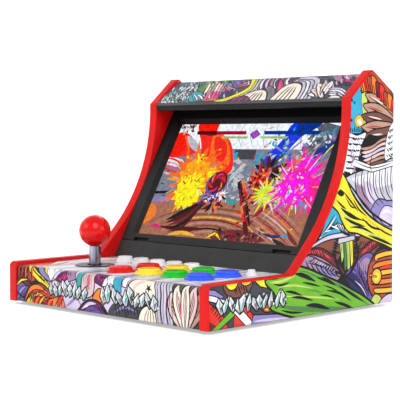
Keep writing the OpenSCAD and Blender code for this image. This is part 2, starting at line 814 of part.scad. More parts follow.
// kind is [rim radius, hole radius, cap radius, cap height, body depth, travel]
module button_housing(kind) {
    rim = kind[0]; hole = kind[1]; cap = kind[2]; tall = kind[3]; deep = kind[4];
    bore = cap + 0.3;
    lip = min(tall - 2.2, 3.4);
    rotate_extrude() polygon([
        [bore, lip], [bore + 0.6, lip], [bore + 0.9, lip - 0.4], [rim - 1.1, 1.5], [rim - 0.3, 1.2],
        [rim, 0.7], [rim, 0.03], [hole - 0.25, 0.03], [hole - 0.25, -deep],
        [hole * 0.4, -deep], [hole * 0.4, -deep + 1.4], [hole - 1.1, -deep + 1.4],
        [hole - 1.1, -deep * 0.4], [bore, -deep * 0.4]
    ]);
}

module button_plunger(kind) {
    hole = kind[1]; cap = kind[2]; tall = kind[3]; deep = kind[4];
    skirt = -deep * 0.4 - 0.3;
    stem_r = hole * 0.25;
    stem_end = -deep + kind[5] + 0.3;
    round_r = min(1.8, cap * 0.35);
    edge = [
        for (k = [0 : 5])
            let (g = 90 * k / 5)
            [cap - round_r + round_r * cos(g), tall - round_r + round_r * sin(g)]
    ];
    rotate_extrude() polygon(concat(
        [[0, stem_end], [stem_r, stem_end], [stem_r, skirt - 1.5]],
        [[hole - 1.4, skirt - 1.5], [hole - 1.4, skirt], [cap, skirt]],
        edge, [[cap * 0.55, tall + 0.12], [0, tall + 0.2]]
    ));
}

module play_plunger(row, i) {
    spots = row == 0 ? play_front : play_back;
    color(PAINT[i]) on_deck(spots[i]) button_plunger(PLAY);
}

module menu_plunger(i) { color("white") on_deck(menu_spots[i]) button_plunger(MENU); }

module service_plunger() { color("white") on_deck(service_spot) button_plunger(SERVICE); }

module play_housings(i) {
    color(PAINT[i]) for (p = [play_front[i], play_back[i]]) on_deck(p) button_housing(PLAY);
}

module menu_button_housings() {
    color("white") {
        for (p = menu_spots) on_deck(p) button_housing(MENU);
        on_deck(service_spot) button_housing(SERVICE);
    }
}

// Snap switches under the buttons, each with two blade terminals
module switch_under(kind) {
    top = -kind[4] - 0.05;
    small = kind[1] < 6;
    w = small ? 3 : 6.4;
    translate([-w, -2.9, top - 6.2]) cube([2 * w, 5.8, 6.2]);
    for (s = [-1, 1]) translate([s * w * 0.6 - 0.3, -1.6, top - 10]) cube([0.6, 3.2, 4]);
}

module button_switches() {
    color("black") {
        for (p = concat(play_front, play_back)) on_deck(p) switch_under(PLAY);
        for (p = menu_spots) on_deck(p) switch_under(MENU);
        on_deck(service_spot) switch_under(SERVICE);
    }
}

// ---- Wiring ----------------------------------------------------------------------

plug_top = pcb_low[2] + pcb_size[2] + 7.2;
plug_y = pcb_low[1] + 4.5;
// Routes from each part to its connector on the main board, as [x, y, z]
STICK_ROUTE = [
    [-76, 92, 19], [-75, 114, 17], [-66, 144, 18], [-40, 180, 21], [-6, 205, 30],
    [7, 222, 34], [7, plug_y, plug_top]
];
BUTTON_ROUTE = [
    [116, 136, 19], [90, 137, 18], [44, 138, 17], [26, 154, 18], [24, 190, 24],
    [27, 218, 34], [27, plug_y, plug_top]
];
SCREEN_ROUTE = [[40, 213, 82], [42, 222, 76], [44, 232, 62], [46, 228, 44], [47, plug_y, plug_top]];
SPEAKER_ROUTE = [
    [92, 250, 233], [88, 262, 234], [78, 274, 215], [84, 276, 150], [80, 262, 80],
    [70, 236, 44], [67, plug_y, plug_top]
];

module wiring_harness() {
    ref = [0.29, 0.9, 0.33];
    color("darkslategray") {
        tube(smooth_route(STICK_ROUTE, 4), 1.8, 8, [0, 0, 1]);
        tube(smooth_route(BUTTON_ROUTE, 4), 2.2, 8, [0.1, 0.2, 1]);
        tube(smooth_route(SCREEN_ROUTE, 4), 1.5, 8, [1, 0, 0]);
        tube(smooth_route(SPEAKER_ROUTE, 4), 1.3, 8, [1, 0, 0]);
    }
}

// All the loose metal fixings
module screws_and_nuts() {
    color("silver") {
        foot_screws();
        rear_screws();
        stick_nuts();
        board_standoffs();
    }
}

// ---- Nodes -----------------------------------------------------------------------

place() mirror([1, 0, 0]) side_panel();  // left_side_panel
place() side_panel();  // right_side_panel
place() mirror([1, 0, 0]) edge_trim();  // left_edge_trim
place() edge_trim();  // right_edge_trim
place() base_board();
place() control_deck();
place() lower_fascia();
place() screen_bezel();
place() visor();
place() marquee_panel();
place() top_panel();
place() rear_panel();
place() side_battens();
place() rubber_feet();
place() lcd_screen();
place() lcd_module();
place() lcd_brackets();
place() speakers();
place() main_board();
place() board_components();
place() power_jack();
place() usb_ports();
place() rocker_housing();
place() power_rocker();
place() volume_pot();
place() volume_knob();
place() stick_plate();
place() stick_housing();
place() stick_pivot_ring();
place() stick_pivot_pin();
place() stick_shaft();
place() stick_sleeve();
place() stick_ball();
place() stick_dust_washer();
place() stick_spring();
place() stick_actuator();
place() stick_gate();
place() stick_switches();
place() play_plunger(0, 0);  // plunger_front_red
place() play_plunger(0, 1);  // plunger_front_yellow
place() play_plunger(0, 2);  // plunger_front_green
place() play_plunger(0, 3);  // plunger_front_blue
place() play_plunger(1, 0);  // plunger_back_red
place() play_plunger(1, 1);  // plunger_back_yellow
place() play_plunger(1, 2);  // plunger_back_green
place() play_plunger(1, 3);  // plunger_back_blue
place() menu_plunger(0);  // menu_plunger_1
place() menu_plunger(1);  // menu_plunger_2
place() menu_plunger(2);  // menu_plunger_3
place() menu_plunger(3);  // menu_plunger_4
place() menu_plunger(4);  // menu_plunger_5
place() service_plunger();
place() screws_and_nuts();
place() play_housings(0);  // red_button_housings
place() play_housings(1);  // yellow_button_housings
place() play_housings(2);  // green_button_housings
place() play_housings(3);  // blue_button_housings
place() menu_button_housings();
place() button_switches();
place() wiring_harness();
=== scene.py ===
"""Bartop arcade cabinet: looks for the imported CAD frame.

Metres, in the frame's own axes: +Z up, +Y to the back, +X to the player's right.
Sizes that belong to one face are written in millimetres and turned into metres by MM.
"""

import json
import math
import random

import bmesh
import bpy
from mathutils import Matrix, Vector
from mathutils.geometry import delaunay_2d_cdt

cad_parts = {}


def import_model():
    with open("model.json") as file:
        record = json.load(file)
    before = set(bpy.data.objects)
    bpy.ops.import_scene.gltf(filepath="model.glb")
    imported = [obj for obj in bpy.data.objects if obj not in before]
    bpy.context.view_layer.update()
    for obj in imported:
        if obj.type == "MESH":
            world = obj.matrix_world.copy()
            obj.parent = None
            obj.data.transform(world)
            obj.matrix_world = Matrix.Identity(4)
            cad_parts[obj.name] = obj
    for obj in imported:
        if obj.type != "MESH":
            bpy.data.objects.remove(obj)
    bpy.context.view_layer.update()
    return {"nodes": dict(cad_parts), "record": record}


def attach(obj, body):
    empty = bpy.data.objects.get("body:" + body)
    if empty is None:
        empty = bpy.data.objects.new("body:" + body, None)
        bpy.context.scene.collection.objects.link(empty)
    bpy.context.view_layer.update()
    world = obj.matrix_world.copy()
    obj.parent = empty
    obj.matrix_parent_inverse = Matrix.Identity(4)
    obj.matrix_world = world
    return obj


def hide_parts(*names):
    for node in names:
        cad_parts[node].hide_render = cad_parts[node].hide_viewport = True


MM = 0.001

# ---- Sizes that repeat the CAD source, in millimetres ------------------------------

HALF_DEPTH = 151.0
HALF_WIDTH = 161.3
SIDE_T = 12.3
INNER_X = HALF_WIDTH - SIDE_T
BASE_Z = 4.0
TRIM_T = 1.8
DECK_Z = 45.3
DECK_FRONT = 1.8
DECK_BEND = 6.0
SEAM_Y = 161.8
SEAM_Z = 66.0
TILT = math.radians(29.5)
WINDOW_LOW = 10.8
PICTURE_W = 260.0
PICTURE_H = 157.0
BEZEL_T = 6.6
VISOR_Y = 223.2
MARQUEE_Z = BASE_Z + 231.0 + 0.8
MARQUEE_SLOPE = math.radians(36.0)
STICK = (-82.9, 63.4)
PLAY_FRONT = ((-12.9, 41.0), (23.7, 49.7), (60.3, 54.2), (96.8, 53.2))
ROW_STEP = (3.0, 38.6)
MENU_FIRST = (-89.0, 115.2)
MENU_PITCH = 28.0
SERVICE = (111.0, 117.7)
PILOT = (100.9, 117.7)
COLOURS = ("red", "yellow", "green", "blue")
HOLES = {"play": 15.0, "menu": 10.35, "service": 5.8, "pilot": 2.5, "stick": 10.6}  # radii in the film
CAPS = {"play": (12.6, 6.4), "menu": (8.6, 6.7), "service": (4.1, 6.2)}  # radius, height
FILM_LIFT = 0.12  # height of the printed film over its sheet
FILM_MARGIN = 0.35  # gap between the film and the side panels

# Corners of a side panel as (depth, height), and the radius of the fillet at each
PROFILE = (
    (0.0, BASE_Z),
    (0.0, BASE_Z + 45.5),
    (128.5, BASE_Z + 45.5),
    (221.7, BASE_Z + 138.7),
    (221.7, BASE_Z + 231.0),
    (260.4, BASE_Z + 264.6),
    (302.0, BASE_Z + 238.5),
    (302.0, BASE_Z),
)
FILLETS = (0.5, 6.0, 14.0, 210.0, 4.0, 5.0, 2.0, 2.0)
ARC_STEPS = (2, 8, 8, 30, 6, 8, 3, 3)
TRIMMED = 5  # corners, counted from the front foot, that the edge trim reaches


def spot(x, y, z):
    """A point from the CAD's front-based millimetres to the frame's metres."""
    return Vector((x * MM, (y - HALF_DEPTH) * MM, z * MM))


# ---- Inks and colours --------------------------------------------------------------

INKS = {
    "ink": (0.035, 0.025, 0.045),
    "white": (0.93, 0.93, 0.95),
    "lilac": (0.82, 0.77, 0.87),
    "mist": (0.76, 0.75, 0.80),
    "violet": (0.55, 0.51, 0.74),
    "mauve": (0.62, 0.50, 0.62),
    "plum": (0.38, 0.14, 0.36),
    "purple": (0.42, 0.33, 0.62),
    "cyan": (0.22, 0.64, 0.78),
    "teal": (0.22, 0.62, 0.64),
    "navy": (0.13, 0.13, 0.36),
    "yellow": (0.91, 0.86, 0.18),
    "gold": (0.96, 0.72, 0.22),
    "orange": (0.95, 0.50, 0.16),
    "rust": (0.70, 0.28, 0.17),
    "red": (0.87, 0.20, 0.15),
    "maroon": (0.45, 0.13, 0.15),
    "brown": (0.46, 0.29, 0.25),
    "tan": (0.72, 0.56, 0.48),
    "cream": (0.95, 0.90, 0.83),
    "blush": (0.89, 0.75, 0.74),
    "green": (0.42, 0.69, 0.15),
    "leaf": (0.30, 0.50, 0.26),
    "lime": (0.74, 0.82, 0.42),
    "grey": (0.47, 0.45, 0.51),
    "slate": (0.25, 0.25, 0.28),
    "silver": (0.76, 0.82, 0.81),
    "pink": (0.88, 0.33, 0.53),
    "magenta": (0.80, 0.17, 0.45),
    "sky": (0.96, 0.98, 1.0),
    "stand": (0.48, 0.51, 0.58),
    "steel": (0.36, 0.38, 0.45),
    "floor": (0.67, 0.43, 0.33),
    "clay": (0.52, 0.28, 0.22),
    "flame": (0.98, 0.10, 0.03),
    "ember": (1.0, 0.42, 0.02),
    "blaze": (1.0, 0.66, 0.02),
    "sun": (1.0, 0.95, 0.05),
    "acid": (0.85, 0.95, 0.12),
    "azure": (0.02, 0.22, 0.92),
    "cobalt": (0.03, 0.20, 0.55),
    "fuchsia": (1.0, 0.03, 0.92),
    "rose": (1.0, 0.08, 0.60),
    "crimson": (0.64, 0.03, 0.20),
    "meadow": (0.60, 0.76, 0.42),
    "wine": (0.32, 0.02, 0.03),
}


def linear(colour):
    """An sRGB colour as linear light, with full alpha."""
    out = [c / 12.92 if c <= 0.04045 else ((c + 0.055) / 1.055) ** 2.4 for c in colour]
    return (*out, 1.0)


# ---- Materials ---------------------------------------------------------------------


class Shader:
    """A Principled material with short ways to add texture nodes."""

    def __init__(self, name, colour, rough, metal=0.0):
        self.material = bpy.data.materials.new(name)
        self.material.use_nodes = True
        self.tree = self.material.node_tree
        self.bsdf = self.tree.nodes["Principled BSDF"]
        self.bsdf.inputs["Base Color"].default_value = linear(colour)
        self.bsdf.inputs["Roughness"].default_value = rough
        self.bsdf.inputs["Metallic"].default_value = metal
        self.place = self.node("ShaderNodeTexCoord").outputs["Object"]

    def node(self, kind, **settings):
        made = self.tree.nodes.new(kind)
        for key, value in settings.items():
            setattr(made, key, value)
        return made

    def link(self, source, target):
        self.tree.links.new(source, target)

    def set(self, **values):
        for key, value in values.items():
            self.bsdf.inputs[key.replace("_", " ")].default_value = value
        return self

    def noise(self, scale, detail=3.0, stretch=(1, 1, 1)):
        """Noise in object space; scale is in cycles per metre."""
        source = self.place
        if stretch != (1, 1, 1):
            mapping = self.node("ShaderNodeMapping")
            mapping.inputs["Scale"].default_value = stretch
            self.link(source, mapping.inputs["Vector"])
            source = mapping.outputs["Vector"]
        made = self.node("ShaderNodeTexNoise")
        made.inputs["Scale"].default_value = scale
        made.inputs["Detail"].default_value = detail
        self.link(source, made.inputs["Vector"])
        return made.outputs["Fac"]

    def cells(self, scale):
        """Voronoi distance in object space; scale is in cells per metre."""
        made = self.node("ShaderNodeTexVoronoi")
        made.inputs["Scale"].default_value = scale
        self.link(self.place, made.inputs["Vector"])
        return made.outputs["Distance"]

    def ramp(self, factor, low, high, start=0.3, end=0.7):
        """A factor spread from low to high as a number."""
        made = self.node("ShaderNodeMapRange")
        made.inputs["From Min"].default_value = start
        made.inputs["From Max"].default_value = end
        made.inputs["To Min"].default_value = low
        made.inputs["To Max"].default_value = high
        self.link(factor, made.inputs["Value"])
        return made.outputs["Result"]

    def blend(self, factor, first, second, mode="MIX"):
        """Mixes two colours, each a socket or an sRGB colour."""
        made = self.node("ShaderNodeMix", data_type="RGBA", blend_type=mode)
        for value, index in ((first, 6), (second, 7)):
            if isinstance(value, tuple):
                made.inputs[index].default_value = linear(value)
            else:
                self.link(value, made.inputs[index])
        if isinstance(factor, float):
            made.inputs[0].default_value = factor
        else:
            self.link(factor, made.inputs[0])
        return made.outputs[2]

    def paint(self, source):
        self.link(source, self.bsdf.inputs["Base Color"])
        return self

    def rough(self, source):
        self.link(source, self.bsdf.inputs["Roughness"])
        return self

    def bump(self, height, distance, strength=0.4):
        """Relief from a height socket; distance is in metres."""
        made = self.node("ShaderNodeBump")
        made.inputs["Distance"].default_value = distance
        made.inputs["Strength"].default_value = strength
        self.link(height, made.inputs["Height"])
        self.link(made.outputs["Normal"], self.bsdf.inputs["Normal"])
        return self


def mottled(shader, colour, spread, scale=60.0):
    """Slight patches of lighter and darker colour."""
    dark = tuple(max(c * (1 - spread), 0) for c in colour)
    light = tuple(min(c * (1 + spread), 1) for c in colour)
    factor = shader.ramp(shader.noise(scale), 0.0, 1.0)
    return shader.paint(shader.blend(factor, dark, light))


def gloss_plastic(name, colour, rough=0.2, orange_peel=0.00002, coat=0.12):
    """Moulded gloss plastic with a faint orange peel and rubbed patches."""
    shader = Shader(name, colour, rough)
    mottled(shader, colour, 0.04, 45.0)
    shader.rough(shader.ramp(shader.noise(160.0, 4.0), rough * 0.75, rough * 1.6))
    shader.bump(shader.noise(420.0, 2.0), orange_peel)
    shader.set(Specular_IOR_Level=0.18, Coat_Weight=coat, Coat_Roughness=0.08)
    return shader.material


def matte_plastic(name, colour, rough=0.5, grain=900.0, depth=0.00003):
    """Moulded plastic with a fine spark-eroded grain."""
    shader = Shader(name, colour, rough)
    mottled(shader, colour, 0.07, 35.0)
    shader.rough(shader.ramp(shader.noise(220.0, 4.0), rough * 0.85, rough * 1.2))
    shader.bump(shader.noise(grain, 3.0), depth)
    shader.set(Specular_IOR_Level=0.2)
    return shader.material


def shaded_bezel(name):
    """The bezel's plastic, darker towards the visor that shades it."""
    shader = Shader(name, (0.15, 0.15, 0.15), 0.5)
    parts = shader.node("ShaderNodeSeparateXYZ")
    shader.link(shader.place, parts.inputs["Vector"])
    height = shader.ramp(parts.outputs["Z"], 0.0, 1.0, 0.09, 0.21)
    grain = shader.ramp(shader.noise(35.0), 0.0, 1.0)
    low = shader.blend(grain, (0.15, 0.15, 0.15), (0.175, 0.172, 0.17))
    shader.paint(shader.blend(height, low, (0.04, 0.04, 0.042)))
    shader.rough(shader.ramp(shader.noise(220.0, 4.0), 0.45, 0.6))
    shader.bump(shader.noise(900.0, 3.0), 0.00003)
    shader.set(Specular_IOR_Level=0.14)
    return shader.material


def powder_coat(name, colour, rough=0.5):
    """Painted sheet with the small pebbles of powder coat."""
    shader = Shader(name, colour, rough)
    mottled(shader, colour, 0.06, 50.0)
    shader.rough(shader.ramp(shader.noise(300.0, 3.0), rough * 0.8, rough * 1.25))
    shader.bump(shader.cells(1100.0), 0.00004, 0.5)
    shader.set(Specular_IOR_Level=0.25)
    return shader.material


def bare_metal(name, colour, rough, stretch=(1, 1, 14)):
    """Plated or ground metal with fine drawn lines."""
    shader = Shader(name, colour, rough, 1.0)
    mottled(shader, colour, 0.05, 90.0)
    lines = shader.noise(500.0, 3.0, stretch)
    shader.rough(shader.ramp(lines, rough * 0.7, rough * 1.5))
    shader.bump(lines, 0.00001, 0.3)
    return shader.material


def turned_steel(name):
    """Polished round steel with drawn lines along its length in its roughness, and long light and dark
    bands painted into its colour as reflections.
    """
    shader = Shader(name, (0.5, 0.5, 0.56), 0.16, 1.0)
    lines = shader.noise(260.0, 2.0, (1.0, 1.0, 0.04))
    # Strong light and dark bands along the shaft: painted reflection, not the steel's own colour.
    painted_reflection_mask = shader.ramp(lines, 0.0, 1.0, 0.36, 0.62)
    painted_reflection_bands = shader.blend(painted_reflection_mask, (0.28, 0.29, 0.35), (0.68, 0.69, 0.76))
    rubbed = shader.ramp(shader.noise(120.0, 4.0), 0.0, 0.1)
    shader.paint(shader.blend(rubbed, painted_reflection_bands, (0.40, 0.41, 0.46)))
    shader.rough(shader.ramp(lines, 0.14, 0.26))
    return shader.material


def timber(name, colour):
    """Sawn softwood with long grain."""
    shader = Shader(name, colour, 0.65)
    dark = tuple(c * 0.62 for c in colour)
    grain = shader.noise(90.0, 5.0, (3.0, 0.35, 3.0))
    shader.paint(shader.blend(shader.ramp(grain, 0.0, 1.0), dark, colour))
    shader.bump(grain, 0.0001, 0.4)
    return shader.material


def rubber(name, colour):
    """Black rubber or cable sheath, mottled and matt."""
    shader = Shader(name, colour, 0.75)
    mottled(shader, colour, 0.15, 80.0)
    shader.bump(shader.noise(700.0, 4.0), 0.00004)
    return shader.material


def circuit_board(name):
    """Green solder mask with copper tracks under it."""
    shader = Shader(name, (0.05, 0.30, 0.13), 0.35)
    tracks = shader.noise(260.0, 0.0, (4.0, 0.7, 1.0))
    lines = shader.ramp(tracks, 0.0, 1.0, 0.48, 0.52)
    shader.paint(shader.blend(lines, (0.03, 0.22, 0.09), (0.09, 0.42, 0.20)))
    shader.set(Coat_Weight=0.4)
    return shader.material


def side_board(name):
    """Laminated board: red on the inner face, black paint on the edges and outside."""
    shader = Shader(name, (0.6, 0.03, 0.03), 0.3)
    parts = shader.node("ShaderNodeSeparateXYZ")
    shader.link(shader.place, parts.inputs["Vector"])
    size = shader.node("ShaderNodeMath", operation="ABSOLUTE")
    shader.link(parts.outputs["X"], size.inputs[0])
    outside = shader.ramp(size.outputs[0], 0.0, 1.0, INNER_X * MM + 0.0002, INNER_X * MM + 0.0003)
    painted_reflection_bands = shader.ramp(shader.noise(40.0), 0.0, 1.0)
    red = shader.blend(painted_reflection_bands, (0.80, 0.04, 0.05), (0.86, 0.06, 0.06))
    fine = shader.ramp(shader.noise(300.0, 4.0), 0.0, 1.0)
    black = shader.blend(fine, (0.07, 0.07, 0.08), (0.12, 0.12, 0.12))
    shader.paint(shader.blend(outside, red, black))
    shader.rough(shader.ramp(shader.noise(120.0, 4.0), 0.26, 0.42))
    shader.bump(shader.noise(500.0, 3.0), 0.00003)
    return shader.material


def printed_film(name, rough=0.34):
    """Printed vinyl: the ink colours, a fine halftone, paper tooth and a satin film."""
    shader = Shader(name, (0.8, 0.8, 0.8), rough)
    ink = shader.node("ShaderNodeVertexColor", layer_name="ink").outputs["Color"]
    dots = shader.ramp(shader.cells(1300.0), 1.0, 0.0, 0.25, 0.45)
    wash = shader.ramp(shader.noise(55.0, 6.0), 0.0, 0.35)
    toned = shader.blend(wash, ink, (0.72, 0.70, 0.76), "MULTIPLY")
    shade = shader.node("ShaderNodeMath", operation="MULTIPLY")
    shade.inputs[1].default_value = 0.16
    shader.link(dots, shade.inputs[0])
    shader.paint(shader.blend(shade.outputs[0], toned, (0.62, 0.60, 0.66), "MULTIPLY"))
    shader.rough(shader.ramp(shader.noise(240.0, 4.0), rough * 0.8, rough * 1.3))
    shader.bump(shader.noise(1500.0, 2.0), 0.00001, 0.3)
    shader.set(Specular_IOR_Level=0.16)
    return shader.material


def lit_picture(name):
    """The display: lit ink colours with fine rows of pixels, behind a gloss film."""
    shader = Shader(name, (0.02, 0.02, 0.02), 0.12)
    ink = shader.node("ShaderNodeVertexColor", layer_name="ink").outputs["Color"]
    speckle = shader.ramp(shader.noise(240.0, 6.0), 0.0, 1.0, 0.35, 0.65)
    mixed = shader.blend(speckle, (0.84, 0.84, 0.86), (1.0, 1.0, 1.0))
    shown = shader.blend(1.0, ink, mixed, "MULTIPLY")
    shader.link(shown, shader.bsdf.inputs["Emission Color"])
    shader.set(Emission_Strength=1.12, Specular_IOR_Level=0.15)
    return shader.material


# ---- Mesh helpers ------------------------------------------------------------------


def add_object(name, mesh, material, body="cabinet"):
    """Links a mesh as a piece that rides on a body."""
    made = bpy.data.objects.new(name, mesh)
    bpy.context.scene.collection.objects.link(made)
    mesh.materials.append(material)
    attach(made, body)
    return made


def soft_edges(bm, degrees=32.0):
    """Smooth shading with crisp edges where the surface turns sharply."""
    limit = math.radians(degrees)
    for face in bm.faces:
        face.smooth = True
    for edge in bm.edges:
        if len(edge.link_faces) == 2:
            edge.smooth = edge.calc_face_angle(0.0) < limit


def mesh_from(bm, name):
    """A mesh made from a finished bmesh, with its shading set."""
    mesh = bpy.data.meshes.new(name)
    bm.normal_update()
    soft_edges(bm)
    bm.to_mesh(mesh)
    bm.free()
    return mesh


def rounded_profile(points):
    """A lathe profile of (radius, height, fillet) with its corners rounded."""
    out = []
    for i, (r, z, fillet) in enumerate(points):
        here = Vector((r, z))
        if fillet <= 0 or i in (0, len(points) - 1):
            out.append(here)
            continue
        before = Vector(points[i - 1][:2])
        after = Vector(points[i + 1][:2])
        u = (here - before).normalized()
        v = (after - here).normalized()
        start = here - u * fillet
        end = here + v * fillet
        for k in range(6):
            t = k / 5
            out.append(start.lerp(here, t).lerp(here.lerp(end, t), t))
    return out


def lathe(name, points, centre, material, body, segments=64):
    """A turned piece from its profile, standing on centre; all in millimetres."""
    bm = bmesh.new()
    rings = []
    for p in rounded_profile(points):
        if p.x < 1e-6:
            rings.append([bm.verts.new(centre + Vector((0, 0, p.y * MM)))])
            continue
        ring = []
        for k in range(segments):
            a = math.tau * k / segments
            offset = Vector((p.x * math.cos(a), p.x * math.sin(a), p.y)) * MM
            ring.append(bm.verts.new(centre + offset))
        rings.append(ring)
    for low, high in zip(rings, rings[1:]):
        for k in range(segments):
            j = (k + 1) % segments
            corners = [low[k % len(low)], low[j % len(low)], high[j % len(high)], high[k % len(high)]]
            unique = list(dict.fromkeys(corners))
            bm.faces.new(unique)
    if len(rings[0]) > 1 and len(rings[-1]) > 1:
        first, last = rings[0], rings[-1]
        for k in range(segments):
            j = (k + 1) % segments
            bm.faces.new((last[k], last[j], first[j], first[k]))
    bmesh.ops.recalc_face_normals(bm, faces=bm.faces)
    return add_object(name, mesh_from(bm, name), material, body)


# ---- Outline of the side panel -----------------------------------------------------


def left_of(v):
    """The vector turned a quarter to the left."""
    return Vector((-v.y, v.x))


def meet(p, u, q, v):
    """Where the line through p along u meets the line through q along v."""
    gap = q - p
    return p + u * ((gap.x * v.y - gap.y * v.x) / (u.x * v.y - u.y * v.x))


def inset_corners(offsets):
    """The panel's corners with each edge moved inwards by its own offset."""
    corners = [Vector(p) for p in PROFILE]
    count = len(corners)
    out = []
    for i, here in enumerate(corners):
        u = (here - corners[i - 1]).normalized()
        v = (corners[(i + 1) % count] - here).normalized()
        out.append(
            meet(here - left_of(u) * offsets[i - 1], u, here - left_of(v) * offsets[i], v)
        )
    return out


def fillet_points(a, b, c, radius, steps):
    """The arc that rounds the corner b between a and c."""
    u = (b - a).normalized()
    v = (c - b).normalized()
    turn = math.atan2(u.x * v.y - u.y * v.x, u.dot(v))
    side = math.copysign(1.0, turn)
    start = b - u * (radius * math.tan(abs(turn) / 2))
    centre = start + left_of(u) * side * radius
    first = math.atan2(start.y - centre.y, start.x - centre.x)
    angles = [first + turn * k / steps for k in range(steps + 1)]
    return [centre + radius * Vector((math.cos(g), math.sin(g))) for g in angles]


def outline(offsets, first=0, last=len(PROFILE) - 1):
    """The rounded outline with each edge moved inwards by its own offset."""
    corners = inset_corners(offsets)
    count = len(corners)
    out = []
    for i in range(first, last + 1):
        hollow = i in (2, 3)
        shift = offsets[i] if i < count else 0.0
        radius = max(0.3, FILLETS[i] + (shift if hollow else -shift))
        out += fillet_points(
            corners[i - 1], corners[i], corners[(i + 1) % count], radius, ARC_STEPS[i]
        )
    return out


def trim_offsets(depth, rest=0.0):
    """One offset for the trimmed front edges and another for the rest."""
    return [depth if i < TRIMMED else rest for i in range(len(PROFILE))]


# ---- Edge trim ---------------------------------------------------------------------


def trim_section():
    """The crown's section as (across, depth below the crown), rounded at both sides."""
    half = SIDE_T / 2
    lip = 1.15
    left = []
    for k in range(6):
        a = math.radians(90 * k / 5)
        left.append((-half + lip - lip * math.cos(a), lip - lip * math.sin(a) + 0.04))
    crown = [(-half * 0.35, 0.0), (0.0, 0.0), (half * 0.35, 0.0)]
    right = [(-x, d) for x, d in reversed(left)]
    return [(-half, TRIM_T)] + left + crown + right + [(half, TRIM_T)]


def edge_trim(side, material):
    """Push-in moulding that follows the panel's front edge from the foot to the peak."""
    outer = [Vector((0.0, BASE_Z))] + outline(trim_offsets(0.0), 1, TRIMMED)
    inner = [Vector((TRIM_T, BASE_Z))] + outline(trim_offsets(TRIM_T), 1, TRIMMED)
    section = trim_section()
    centre_x = side * (HALF_WIDTH - SIDE_T / 2)
    bm = bmesh.new()
    rings = []
    for i, (o, n) in enumerate(zip(outer, inner)):
        into = (n - o) / TRIM_T
        close = max(0.0, 1 - (len(outer) - 1 - i) / 3) * 0.7
        ring = []
        for x, depth in section:
            p = o + into * (depth + (TRIM_T - depth) * close * 0.6)
            ring.append(bm.verts.new(spot(centre_x + side * x, p.x, p.y)))
        rings.append(ring)
    count = len(section)
    for low, high in zip(rings, rings[1:]):
        for k in range(count):
            j = (k + 1) % count
            bm.faces.new((low[k], low[j], high[j], high[k]))
    bm.faces.new(rings[0])
    bm.faces.new(rings[-1])
    bmesh.ops.recalc_face_normals(bm, faces=bm.faces)
    name = "trim_left" if side < 0 else "trim_right"
    made = add_object(name, mesh_from(bm, name), material, "cabinet")
    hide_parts("left_edge_trim" if side < 0 else "right_edge_trim")


# ---- Flat artwork ------------------------------------------------------------------

INK_LINE = 1.75  # scales every outline of the artwork


def spline(points, closed, steps=5):
    """A Catmull-Rom curve through points."""
    pts = [Vector(p) for p in points]
    count = len(pts)
    out = []
    spans = count if closed else count - 1
    for i in range(spans):
        if closed:
            a, b, c, d = (pts[(i + k) % count] for k in (-1, 0, 1, 2))
        else:
            a = pts[max(i - 1, 0)]
            b = pts[i]
            c = pts[i + 1]
            d = pts[min(i + 2, count - 1)]
        for k in range(steps):
            t = k / steps
            out.append(
                0.5
                * (
                    2 * b
                    + (c - a) * t
                    + (2 * a - 5 * b + 4 * c - d) * t * t
                    + (3 * b - a - 3 * c + d) * t * t * t
                )
            )
    if not closed:
        out.append(pts[-1])
    return out


def area(points):
    """The signed area of a closed outline, positive when it runs anticlockwise."""
    total = 0.0
    for a, b in zip(points, points[1:] + points[:1]):
        total += a.x * b.y - a.y * b.x
    return total / 2


def grown(points, width):
    """A closed outline moved outwards, with its sharp corners cut short."""
    turn = 1.0 if area(points) > 0 else -1.0
    out = []
    count = len(points)
    for i, here in enumerate(points):
        u = (here - points[i - 1]).normalized()
        v = (points[(i + 1) % count] - here).normalized()
        way = -left_of((u + v).normalized() if (u + v).length > 1e-6 else u) * turn
        out.append(here + way * width)
    return out


